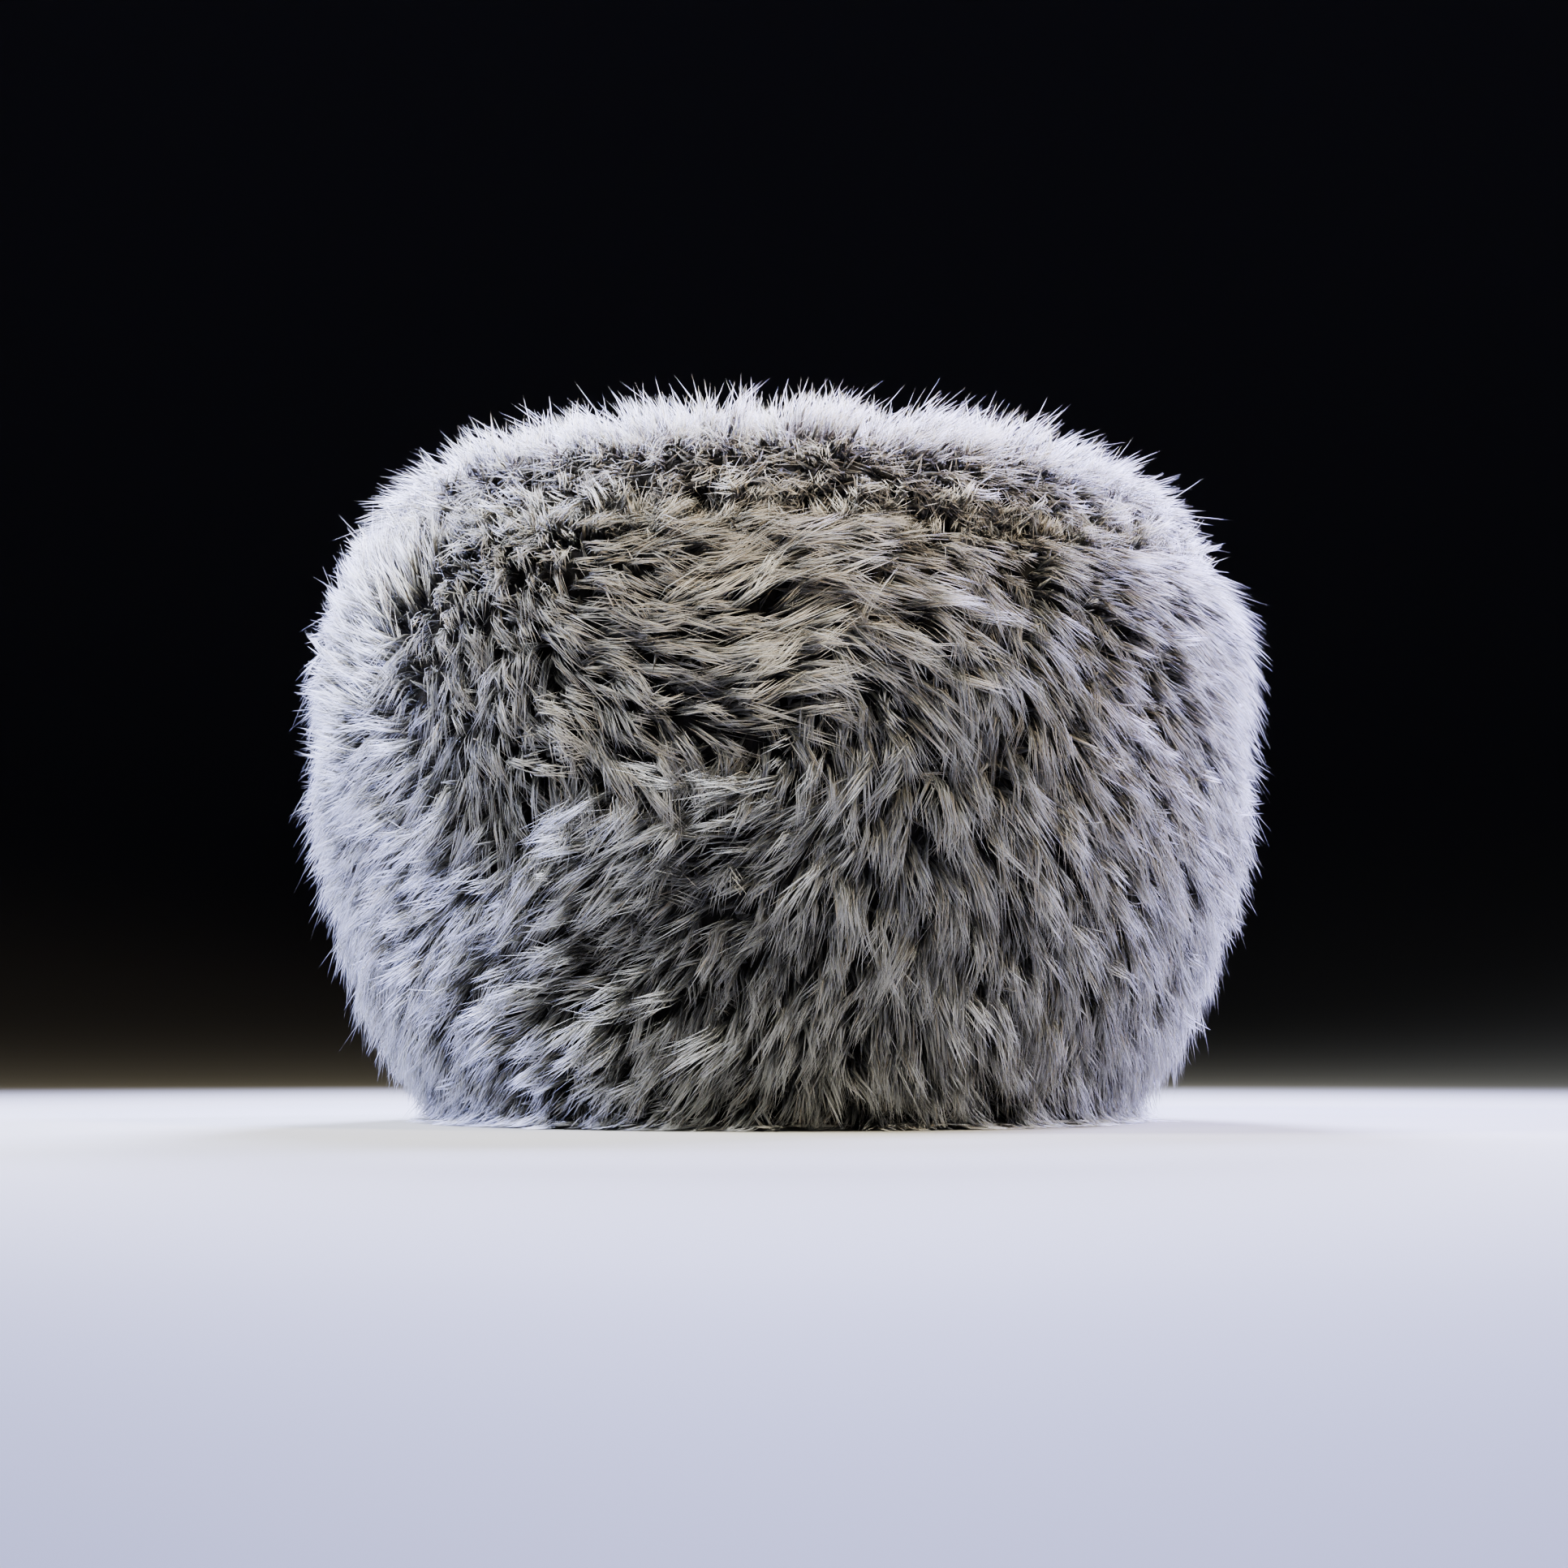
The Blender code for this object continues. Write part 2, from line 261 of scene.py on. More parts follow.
# Slow waves that turn the combing a little, right round the hat
STIRS = (
    # turns around, waves a metre up, degrees, shift
    (5, 9.0, 8.0, 0.4),
    (9, -14.0, 7.0, 2.1),
    (14, 21.0, 6.0, 4.0),
    (23, -33.0, 6.0, 1.3),
    (38, 47.0, 6.0, 0.2),
    (57, -68.0, 5.0, 2.9),
)

# Ruffled places, where the fur lies every way
RUFFLES = (
    # azimuth, height, reach around, reach up, turn in radians
    (47, 0.178, 0.022, 0.016, 0.70),
    (12, 0.138, 0.034, 0.012, 0.45),
    (27, 0.137, 0.030, 0.012, 0.45),
    (-12, 0.176, 0.018, 0.018, 0.35),
    (56, 0.150, 0.014, 0.016, 0.45),
    (33, 0.098, 0.024, 0.016, 0.55),
    (24, 0.070, 0.030, 0.012, 0.60),
    (-4, 0.160, 0.016, 0.012, 0.40),
    (66, 0.205, 0.020, 0.014, 0.45),
    (120, 0.140, 0.022, 0.016, 0.50),
    (-110, 0.190, 0.024, 0.016, 0.50),
    (-160, 0.110, 0.022, 0.018, 0.50),
)

# Waves that make tufts stand higher or lie lower, right round the hat; the higher tufts are also
# painted lighter and the lower ones darker, as painted light and shade
SWELLS = (
    # turns around, waves a metre up, share, shift
    (11, 17.0, 0.10, 1.1),
    (19, -25.0, 0.12, 3.0),
    (31, 33.0, 0.12, 5.2),
    (44, -21.0, 0.12, 0.7),
    (61, 58.0, 0.10, 2.4),
)

# Partings and holes where the dark roots show, where the locks are also painted darker as painted shade
HOLLOWS = (
    # azimuth, height, reach around, reach up, depth
    (24, 0.078, 0.056, 0.024, 0.80),
    (37, 0.108, 0.024, 0.034, 0.65),
    (27, 0.094, 0.014, 0.012, 0.70),
    (8, 0.118, 0.030, 0.012, 0.50),
    (2, 0.178, 0.012, 0.008, 0.45),
    (46, 0.160, 0.016, 0.014, 0.60),
    (30, 0.150, 0.020, 0.010, 0.40),
    (-6, 0.237, 0.014, 0.006, 0.55),
    (11, 0.238, 0.015, 0.009, 0.85),
    (31, 0.237, 0.016, 0.010, 1.00),
    (43, 0.239, 0.018, 0.013, 1.25),
    (56, 0.238, 0.021, 0.015, 1.30),
    (68, 0.231, 0.018, 0.017, 1.30),
    (77, 0.210, 0.014, 0.016, 1.15),
    (86, 0.186, 0.014, 0.022, 1.05),
    (93, 0.158, 0.012, 0.014, 0.80),
    (104, 0.236, 0.016, 0.008, 0.70),
    (150, 0.237, 0.020, 0.007, 0.60),
    (-60, 0.237, 0.018, 0.007, 0.60),
    (-130, 0.236, 0.020, 0.008, 0.60),
    (52, 0.020, 0.024, 0.010, 0.35),
)

# Places where the fur has a warm, sandy tone
WARM_PLACES = (
    # azimuth, height, reach around, reach up, share
    (52, 0.240, 0.120, 0.046, 0.95),
    (84, 0.175, 0.070, 0.080, 0.70),
    (28, 0.225, 0.055, 0.034, 0.65),
    (170, 0.235, 0.120, 0.030, 0.50),
)

# Places where the fur is painted paler, as painted light where the lamps fall strongly on it
PAINTED_LIGHT_PLACES = (
    # azimuth, height, reach around, reach up, share
    (4, 0.165, 0.055, 0.045, 1.00),
    (-9, 0.190, 0.034, 0.040, 1.00),
    (-20, 0.120, 0.050, 0.050, 0.60),
    (83, 0.035, 0.055, 0.035, 1.00),
    (22, 0.220, 0.040, 0.012, 0.70),
    (42, 0.219, 0.040, 0.012, 1.00),
    (58, 0.212, 0.034, 0.014, 1.00),
    (70, 0.192, 0.026, 0.018, 0.80),
    (30, 0.258, 0.060, 0.013, 0.80),
    (62, 0.260, 0.060, 0.013, 0.80),
)

# Kinds of strand: how many a lock has, how wide they are, how far along the lock they start and end,
# how much they gather to its tip, how far they stray, how wide they root, and how wide they are and
# how far up they reach on the colour map
Coat = namedtuple("Coat", "strands width start end gather stray spread map_width map_top")
BODY = Coat(2, 0.00155, 0.00, 0.90, 0.60, 0.0005, 0.85, 0.030, 1.00)
HAIR = Coat(8, 0.00048, 0.22, 1.06, 0.50, 0.0010, 1.20, 0.008, 1.00)
STRAY = Coat(2, 0.00030, 0.18, 1.12, 0.20, 0.0034, 1.20, 0.008, 1.00)
SOFT_BODY = Coat(2, 0.00150, 0.00, 0.76, 0.60, 0.0005, 0.85, 0.030, 0.90)
SOFT_HAIR = Coat(8, 0.00046, 0.22, 1.04, 0.18, 0.0023, 1.25, 0.008, 1.00)
SOFT_STRAY = Coat(2, 0.00032, 0.18, 1.10, 0.10, 0.0045, 1.25, 0.008, 1.00)
WOOL = Coat(1, 0.00230, 0.00, 1.00, 0.00, 0.0030, 0.50, 0.030, 0.42)
FINE_WOOL = Coat(1, 0.00150, 0.00, 1.00, 0.00, 0.0030, 0.50, 0.030, 0.48)
RIM_BODY = Coat(2, 0.00230, 0.00, 0.95, 0.60, 0.0004, 1.00, 0.030, 1.00)
RIM_HAIR = Coat(2, 0.00060, 0.10, 1.06, 0.40, 0.0006, 1.50, 0.008, 1.00)
LOCK_COATS = (BODY, HAIR, STRAY)
RIM_COATS = (RIM_BODY, RIM_HAIR)
SOFT_COATS = (SOFT_BODY, SOFT_HAIR, SOFT_STRAY)
WOOL_COATS = (WOOL,)
FINE_WOOL_COATS = (FINE_WOOL,)

# Where a strand starts, is widest and ends along its length, how far the ridge of its middle rises
# and how far its edges drop, and how much strands differ in length, rise and width
STATIONS = (0.0, 0.42, 1.0)
RIDGE_RISE = 0.65
EDGE_DROP = 0.25
STRAND_END = (0.78, 1.06)
STRAND_RISE = (0.85, 1.12)
STRAND_WIDTH = (0.85, 1.15)

# Corners of each of a strand's triangles: corner 0 is its root, 1 to 3 go round its middle and 4 is
# its tip
STRAND_FACES = (
    (0, 2, 1),
    (1, 2, 4),
    (0, 3, 2),
    (2, 3, 4),
    (0, 1, 3),
    (3, 1, 4),
)

# Piles: the skin that they grow from, how many locks and tufts they have, how far a lock rises from
# the skin and sweeps along it, and how much its direction spreads in radians
Pile = namedtuple("Pile", "skin locks tufts rise sweep spread")
SIDE = Pile(SIDE_SKIN, 8300, 1900, 0.0185, 0.0255, 0.13)
SIDE_WOOL = Pile(SIDE_SKIN, 7000, 1900, 0.0115, 0.0050, 1.20)
SEAM = Pile(SEAM_SKIN, 900, 220, 0.0165, 0.0090, 0.60)
SEAM_WOOL = Pile(SEAM_SKIN, 900, 220, 0.0115, 0.0050, 1.20)
CROWN = Pile(CROWN_SKIN, 2500, 850, 0.0270, 0.0135, 0.25)
CROWN_WOOL = Pile(CROWN_SKIN, 3600, 850, 0.0080, 0.0120, 2.00)
SHOULDER_WOOL = Pile(SHOULDER_SKIN, 2000, 850, 0.0080, 0.0120, 2.00)
RIM = Pile(RIM_SKIN, 880, 220, 0.0022, 0.0160, 0.30)

# How far roots and tuft centres stray from their even places round the hat, in radians
ROOT_STRAY = 0.012
TUFT_STRAY = 0.020

# What sets one tuft apart from the next: its turn in radians, its lift, its tone and how much its
# locks lean together
TUFT_TURN = 0.10
TUFT_LIFT = (0.86, 1.10)
TUFT_TONE = 0.16
TUFT_PULL = 0.40
CROWN_PULL = 0.55
LOCK_PULL = (0.6, 1.2)

# What sets one lock apart from the next
LOCK_LENGTH = (0.75, 1.25)
LOCK_LIFT = (0.78, 1.15)
LOCK_SIZE = (0.65, 1.35)
LOCK_CURL = (0.40, 0.85)
LOCK_WAVES = (0.3, 1.6)
EVEN_LIFT = 0.96
LIFT_TOP = 1.22
UPRIGHT_SHARE = 0.05
UPRIGHT_LENGTH = 0.35

# How much shorter and flatter locks are in a hollow, and how much darker they are painted there as
# painted shade
HOLLOW_LENGTH = 0.50
HOLLOW_LIFT = 0.55
HOLLOW_PAINTED_SHADE = 0.80

# Tone of the locks; how much swells paint it lighter and darker as painted light and shade; how much
# warm places lighten it; how much painted light makes it paler; how far one strand's tone strays; and
# the share of sandy strands everywhere
MEAN_TONE = 0.58
TONE_SPREAD = 0.12
SWELL_LIGHT_AND_SHADE = 0.80
WARM_TONE = 0.10
PAINTED_LIGHT_TONE = 0.32
STRAND_TONE = 0.10
SANDY_SHARE = 0.05

# Shape of a lock: how far round its middle strands root, how rise, sweep, gathering, drift and pull
# grow along it, and its waves
LOCK_ROOT = 0.0028
LIFT_BEND = 1.7
SWEEP_BEND = 1.45
GATHER_BEND = 0.9
DRIFT_BEND = 1.6
PULL_BEND = 1.3
LOCK_WAVE = 0.0028
PHASE_STRAY = 0.05

# How strongly the slow waves turn the locks of the seam, the crown and the rim, and which way the
# seam's lean and the crown's turn
SEAM_STIR = 3.0
SEAM_LEAN = math.radians(80.0)
CROWN_STIR = 1.6
CROWN_TURN = 0.30
RIM_STIR = 1.5

# How the side's locks are pressed at the floor, and how the crown's lie over its shoulder
FOOT_HEIGHT = 0.050
FOOT_SHARE = 0.45
SHOULDER_HEIGHT = 0.2440
SHOULDER_REACH = 0.034
SHOULDER_RISE = 0.26
SHOULDER_SWEEP = 1.10

# How far out and up strands reach, what share of the rest is taken back, and the thin layer over
# the floor that pressed strands lie in
TIP_REACH = 0.2150
TIP_HEIGHT = 0.3120
KEEP_SHARE = 0.9
FLOOR_CLEAR = 0.0003
FLOOR_LAYER = 0.0030

# Even scattering: the plastic ratio, and how many steps a profile's area is summed in
PLASTIC_RATIO = 1.32471795724
AREA_STEPS = 400

# The map that cloths and strands carry, the columns that cool and sandy strands take on it, and
# where strands start up it
UV_NAME = "OFBake"
HALF_MAP = 0.5
COOL_RANGE = (0.04, 0.71)
SANDY_RANGE = (0.79, 0.96)
TONE_ENDS = (0.02, 0.98)
MAP_ROOT = 0.01
MAP_HEIGHT = 0.98

# Finishes: each one's roughness, gloss and sheen, and the colour of the sheen
Finish = namedtuple("Finish", "roughness gloss sheen tint")
WHITE = (1.0, 1.0, 1.0, 1.0)
HAIR_FINISH = Finish(0.55, 0.35, 0.12, WHITE)
UNDERFUR_FINISH = Finish(1.0, 0.0, 0.0, WHITE)
CLOTH_FINISH = Finish(0.92, 0.35, 0.20, (0.9, 0.9, 1.0, 1.0))
FLOOR_FINISH = Finish(0.85, 0.5, 0.0, WHITE)
SHEEN_ROUGHNESS = 0.35

# Numbers of the sockets that blend colours, as several of them share a name
MIX_SOCKETS = (0, 6, 7)
MIX_RESULT = 2

# Colours of the hair's parts, from root to tip, and of the underfur and the cloth from dark to light
HAIR_PARTS = ("Root", "Middle", "Tip")
SIDE_HAIR = ((0.006, 0.006, 0.006, 1.0), (0.165, 0.165, 0.150, 1.0), (0.80, 0.80, 0.76, 1.0))
CROWN_HAIR = ((0.008, 0.007, 0.007, 1.0), (0.19, 0.18, 0.165, 1.0), (0.84, 0.84, 0.82, 1.0))
UNDERFUR_COLOURS = ((0.002, 0.002, 0.002, 1.0), (0.014, 0.013, 0.013, 1.0))
CLOTH_COLOURS = ((0.034, 0.034, 0.040, 1.0), (0.075, 0.074, 0.080, 1.0))

# Hair: how much light soaks through it and how far, and the fine hairs drawn along a strand
HAIR_GLOW = {
    "Subsurface Weight": 0.7,
    "Subsurface Scale": 0.002,
    "Subsurface Radius": (1.0, 1.0, 1.0),
}
HAIR_BUMP = 0.0006
HAIR_STRETCH = (190.0, 4.0, 1.0)
HAIR_DETAIL = 2.0

# Underfur: its streaks, the patches that break them up, and what reads as dark and as light
UNDERFUR_BUMP = 0.0012
STREAK_SCALE = 260.0
STREAK_STRETCH = (1.0, 1.0, 0.12)
STREAK_DETAIL = 4.0
PATCH_SCALE = 70.0
PATCH_DETAIL = 2.0
STREAK_LIMITS = {"From Min": 0.12, "From Max": 0.42}

# Cloth: its knitted loops' rows and columns, their lean and height, the painted shade between them, and
# the fluff over them
KNIT_BUMP = 0.0006
KNIT_ROWS = 420.0
WALL_COLUMNS = 420.0
CROWN_COLUMNS = 300.0
HALF_LOOP = 0.5
LOOP_LEAN = 1.1
LOOP_GAIN = 4.0
LOOP_ROUNDING = 0.5
LOOP_SHADE_LIMITS = {"To Min": 0.25}
FLUFF_SCALE = 45.0
FLUFF_DETAIL = 3.0

# Shades of the fine hairs side by side in a lock
HAIR_SHADES = (
    (0.34, (0.38, 0.38, 0.38)),
    (0.50, (0.76, 0.76, 0.76)),
    (0.64, (1.0, 1.0, 1.0)),
)

# How far up a strand its middle and its tip colour take over
LOWER_BLEND = (
    (0.00, (0.0, 0.0, 0.0)),
    (0.26, (0.05, 0.05, 0.05)),
    (0.46, (0.36, 0.36, 0.36)),
    (0.66, (1.0, 1.0, 1.0)),
)
UPPER_BLEND = (
    (0.55, (0.0, 0.0, 0.0)),
    (1.00, (1.0, 1.0, 1.0)),
)

# Tones of the strands: cool from dark to light, then sandy from dark to light
TONES = (
    (0.00, (0.22, 0.22, 0.23)),
    (0.37, (0.70, 0.71, 0.71)),
    (0.745, (1.0, 1.0, 0.99)),
    (0.755, (0.30, 0.25, 0.20)),
    (1.00, (1.0, 0.85, 0.67)),
)

# Pieces that the side's and the crown's locks are joined into, in order round the hat
SIDE_PARTS = (
    "side_pile_back_right",
    "side_pile_front_right",
    "side_pile_front_left",
    "side_pile_back_left",
)
CROWN_PARTS = ("crown_pile_right", "crown_pile_left")

# Floor and wall, lamps and camera
FLOOR_COLOUR = (0.24, 0.24, 0.215, 1.0)
WALL_COLOUR = (0.045, 0.045, 0.048, 1.0)
PALE_REACH = 1.10
DARK_REACH = 1.90
FLOOR_REACH = 1.30
WALL_BEND = 2.00
WALL_HEIGHT = 3.20
STAGE_STEPS = 40
LAMPS = (
    # name, azimuth, elevation, size, watts, colour
    ("key", -36, 43, 0.4, 22.0, (0.90, 0.92, 1.0)),
    ("fill", 8, 50, 0.5, 5.5, (1.0, 0.99, 0.86)),
    ("left_side", -72, 14, 0.5, 27.0, (0.40, 0.45, 1.0)),
    ("right_side", 138, 9, 0.5, 8.0, (0.92, 0.90, 0.92)),
    ("right_rear", 163, 14, 0.5, 19.0, (0.38, 0.38, 1.0)),
    ("right_high", 168, 36, 0.5, 25.0, (0.48, 0.47, 1.0)),
    ("high_rear", 219, 36, 0.5, 40.0, (0.56, 0.59, 1.0)),
    ("top_rear", 219, 58, 0.5, 23.0, (0.42, 0.46, 1.0)),
    ("warm_side", 80, 50, 0.3, 10.5, (1.0, 0.84, 0.60)),
)
LAMP_DISTANCE = 1.9
LAMP_SPREAD = math.radians(60.0)
SKY_COLOUR = (0.80, 0.80, 0.82, 1.0)
SKY_STRENGTH = 0.02
CAMERA_AZIMUTH = 39.0
CAMERA_ELEVATION = -5.4
CAMERA_DISTANCE = 1.25
CAMERA_LENS = 64.0
CAMERA_AIM = Vector((0.0, 0.0, 0.150))


# Objects, node groups and materials


def add_object(name, data):
    thing = bpy.data.objects.new(name, data)
    bpy.context.scene.collection.objects.link(thing)
    return thing


def add_piece(name, mesh, material, nodes):
    """Puts a finished mesh on the hat, in place of the nodes that it stands for."""
    mesh.materials.append(material)
    piece = add_object(name, mesh)
    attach(piece, "root")
    if nodes:
        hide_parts(*nodes)


def new_group(name, inputs, outputs):
    """Makes a node group, and gives what comes into it and what it puts out too."""
    group = bpy.data.node_groups.new(name, "ShaderNodeTree")
    for part, kind, value in inputs:
        socket = group.interface.new_socket(part, in_out="INPUT", socket_type="NodeSocket" + kind)
        socket.default_value = value
    for part, kind in outputs:
        group.interface.new_socket(part, in_out="OUTPUT", socket_type="NodeSocket" + kind)
    entry = group.nodes.new("NodeGroupInput")
    leave = group.nodes.new("NodeGroupOutput")
    return group, entry.outputs, leave.inputs


def feed(tree, value, socket):
    """Links a node's output to a socket, or sets the socket to a plain value."""
    if isinstance(value, bpy.types.NodeSocket):
        tree.links.new(value, socket)
    else:
        socket.default_value = value


def feed_all(tree, values, sockets):
    for name, value in values.items():
        feed(tree, value, sockets[name])


def add_node(tree, kind, values, **settings):
    """Adds a node, sets it up and feeds its sockets, and gives what it puts out."""
    node = tree.nodes.new("ShaderNode" + kind)
    for name, setting in settings.items():
        setattr(node, name, setting)
    feed_all(tree, values, node.inputs)
    return node.outputs


def mix_colours(tree, blend, factor, first, second):
    """Blends two colours; each is a colour or another node's output."""
    values = dict(zip(MIX_SOCKETS, (factor, first, second)))
    return add_node(tree, "Mix", values, data_type="RGBA", blend_type=blend)[MIX_RESULT]


def calculate(tree, operation, first, second):
    return add_node(tree, "Math", {0: first, 1: second}, operation=operation)["Value"]


def stretch(tree, place, factors):
    return add_node(tree, "VectorMath", {0: place, 1: factors}, operation="MULTIPLY")["Vector"]


def remap(tree, value, limits, **settings):
    """Spreads a value between named limits."""
    return add_node(tree, "MapRange", {"Value": value, **limits}, **settings)["Result"]


def add_noise(tree, place, scale, detail):
    return add_node(tree, "TexNoise", {"Vector": place, "Scale": scale, "Detail": detail})["Fac"]


def add_ramp(tree, factor, stops):
    node = tree.nodes.new("ShaderNodeValToRGB")
    ramp = node.color_ramp
    while len(ramp.elements) < len(stops):
        ramp.elements.new(1.0)
    for element, (position, colour) in zip(ramp.elements, stops):
        element.position = position
        element.color = (*colour, 1.0)
    feed(tree, factor, node.inputs["Fac"])
    return node.outputs["Color"]


def own_place(tree):
    return add_node(tree, "TexCoord", {})["Object"]


def own_map(tree):
    """Gives a place on a piece's own map, then how far it is across and up the map."""
    chart = add_node(tree, "UVMap", {}, uv_map=UV_NAME)["UV"]
    parts = add_node(tree, "SeparateXYZ", {"Vector": chart})
    return chart, parts["X"], parts["Y"]


def make_streak_group():
    """Fine hair streaks along one direction of a surface: a mask and a height."""
    group, given, result = new_group(
        "fur_streaks",
        [
            ("Vector", "Vector", (0.0, 0.0, 0.0)),
            ("Scale", "Float", STREAK_SCALE),
            ("Stretch", "Vector", STREAK_STRETCH),
        ],
        [("Mask", "Float"), ("Height", "Float")],
    )
    drawn = stretch(group, given["Vector"], given["Stretch"])
    streaks = add_noise(group, drawn, given["Scale"], STREAK_DETAIL)
    patches = add_noise(group, given["Vector"], PATCH_SCALE, PATCH_DETAIL)
    both = calculate(group, "MULTIPLY", streaks, patches)
    feed(group, remap(group, both, STREAK_LIMITS), result["Mask"])
    feed(group, streaks, result["Height"])
    return group


def make_tone_group():
    """Colour along a strand from its root to its tip, turned lighter, darker or sandier."""
    group, given, result = new_group(
        "strand_tone",
        [(part, "Color", colour) for part, colour in zip(HAIR_PARTS, SIDE_HAIR)],
        [("Color", "Color"), ("Height", "Float")],
    )
    root, middle, tip = (given[part] for part in HAIR_PARTS)
    chart, tone, along = own_map(group)
    lower = mix_colours(group, "MIX", add_ramp(group, along, LOWER_BLEND), root, middle)
    whole = mix_colours(group, "MIX", add_ramp(group, along, UPPER_BLEND), lower, tip)
    toned = mix_colours(group, "MULTIPLY", 1.0, whole, add_ramp(group, tone, TONES))
    hairs = add_noise(group, stretch(group, chart, HAIR_STRETCH), 1.0, HAIR_DETAIL)
    shade = add_ramp(group, hairs, HAIR_SHADES)
    feed(group, mix_colours(group, "MULTIPLY", 1.0, toned, shade), result["Color"])
    feed(group, hairs, result["Height"])
    return group


def make_knit_group():
    """Rows of small knitted loops on a cloth's own map: a painted shade that darkens the low places
    between loops, and a height.
    """
    group, given, result = new_group(
        "knit_loops",
        [("Columns", "Float", WALL_COLUMNS), ("Rows", "Float", KNIT_ROWS)],
        [("Shade", "Float"), ("Height", "Float")],
    )
    _, around, up = own_map(group)
    across = calculate(group, "MULTIPLY", around, given["Columns"])
    down = calculate(group, "MULTIPLY", up, given["Rows"])
    column = calculate(group, "PINGPONG", across, HALF_LOOP)
    lean = calculate(group, "MULTIPLY", column, LOOP_LEAN)
    row = calculate(group, "PINGPONG", calculate(group, "ADD", down, lean), HALF_LOOP)
    loop = calculate(group, "MULTIPLY", column, row)
    rise = calculate(group, "MULTIPLY", loop, LOOP_GAIN)
    height = calculate(group, "POWER", rise, LOOP_ROUNDING)
    # Painted shade: the low places between the loops are painted darker
    feed(group, remap(group, height, LOOP_SHADE_LIMITS), result["Shade"])
    feed(group, height, result["Height"])
    return group


def new_material(name, finish):
    """Makes a material with a finish, and gives its nodes and its shader's inputs too."""
    material = bpy.data.materials.new(name)
    material.use_nodes = True
    tree = material.node_tree
    look = tree.nodes["Principled BSDF"].inputs
    values = {
        "Roughness": finish.roughness,
        "Specular IOR Level": finish.gloss,
        "Sheen Weight": finish.sheen,
        "Sheen Roughness": SHEEN_ROUGHNESS,
        "Sheen Tint": finish.tint,
    }
    feed_all(tree, values, look)
    return material, tree, look


def link_bump(tree, height, depth, look):
    """Raises a surface's normals by a height."""
    bump = add_node(tree, "Bump", {"Distance": depth, "Height": height})
    feed(tree, bump["Normal"], look["Normal"])


def make_strand_material(name, tones, colours):
    """Hair that some light soaks through, dark at its root and pale at its tip."""
    material, tree, look = new_material(name, HAIR_FINISH)
    feed_all(tree, HAIR_GLOW, look)
    hair = add_node(tree, "Group", dict(zip(HAIR_PARTS, colours)), node_tree=tones)
    feed(tree, hair["Color"], look["Base Color"])
    link_bump(tree, hair["Height"], HAIR_BUMP, look)
    return material


def make_underfur_material(name, streaks):
    """Nearly black dense wool in upright streaks."""
    material, tree, look = new_material(name, UNDERFUR_FINISH)
    wool = add_node(tree, "Group", {"Vector": own_place(tree)}, node_tree=streaks)
    feed(tree, mix_colours(tree, "MIX", wool["Mask"], *UNDERFUR_COLOURS), look["Base Color"])
    link_bump(tree, wool["Height"], UNDERFUR_BUMP, look)
    return material


def make_cloth_material(name, knit, columns):
    """Matte dark knitted cloth with a little fluff, painted darker between its loops as painted shade."""
    material, tree, look = new_material(name, CLOTH_FINISH)
    loops = add_node(tree, "Group", {"Columns": columns}, node_tree=knit)
    fluff = add_noise(tree, own_place(tree), FLUFF_SCALE, FLUFF_DETAIL)
    yarn = mix_colours(tree, "MIX", fluff, *CLOTH_COLOURS)
    feed(tree, mix_colours(tree, "MULTIPLY", 1.0, yarn, loops["Shade"]), look["Base Color"])
    link_bump(tree, loops["Height"], KNIT_BUMP, look)
    return material


def make_floor_material():
    """A pale floor that darkens away from the hat, where it turns up into the wall."""
    material, tree, look = new_material("studio_floor", FLOOR_FINISH)
    reach = add_node(tree, "VectorMath", {0: own_place(tree)}, operation="LENGTH")["Value"]
    limits = {"From Min": PALE_REACH, "From Max": DARK_REACH}
    climb = remap(tree, reach, limits, interpolation_type="SMOOTHERSTEP")
    feed(tree, mix_colours(tree, "MIX", climb, FLOOR_COLOUR, WALL_COLOUR), look["Base Color"])
    return material


# Turned cloth and underfur


def turn_profile(profile, closed=False):
    """Turns a profile right round the upright axis."""
    bm = bmesh.new()
    verts = [bm.verts.new((radius, 0.0, height)) for radius, height in profile]
    edges = [bm.edges.new(pair) for pair in zip(verts, verts[1:])]
    if closed:
        edges.append(bm.edges.new((verts[-1], verts[0])))
    bmesh.ops.spin(
        bm,
        geom=verts + edges,
        cent=(0.0, 0.0, 0.0),
        axis=(0.0, 0.0, 1.0),
        angle=FULL_TURN,
        steps=ROUND_STEPS,
        use_merge=True,
    )
    bmesh.ops.remove_doubles(bm, verts=bm.verts, dist=TOUCH)
    return bm


def fine_profile(profile, step):
    """Gives a profile's points again at an even spacing along the lines between them."""
    points = np.array(profile)
    run = run_of(points)
    count = max(2, int(round(run[-1] / step)) + 1)
    even = np.linspace(0.0, run[-1], count)
    return list(zip(np.interp(even, run, points[:, 0]), np.interp(even, run, points[:, 1])))


def run_of(points):
    """Gives the length run along a profile at each of its points."""
    steps = np.linalg.norm(np.diff(points, axis=0), axis=1)
    return np.concatenate([[0.0], np.cumsum(steps)])


def lengthen(bm):
    """Makes the round an oval, longer from front to back."""
    for vert in bm.verts:
        vert.co.y *= LENGTHEN


def set_order(items, place_of):
    """Puts a form's corners or faces in an order set by where they stand."""
    placed = sorted(items, key=lambda item: tuple(round(value, ORDER_DIGITS) for value in place_of(item)))
    ranks = {item: rank for rank, item in enumerate(placed)}
    items.sort(key=ranks.get)


def finish_turned(name, bm):
    """Gives a turned form as a smooth mesh, with its corners and faces in a set order."""
    set_order(bm.verts, lambda vert: vert.co)
    set_order(bm.faces, lambda face: face.calc_center_median())
    mesh = bpy.data.meshes.new(name)
    bm.to_mesh(mesh)
    bm.free()
    mesh.shade_smooth()
    return mesh


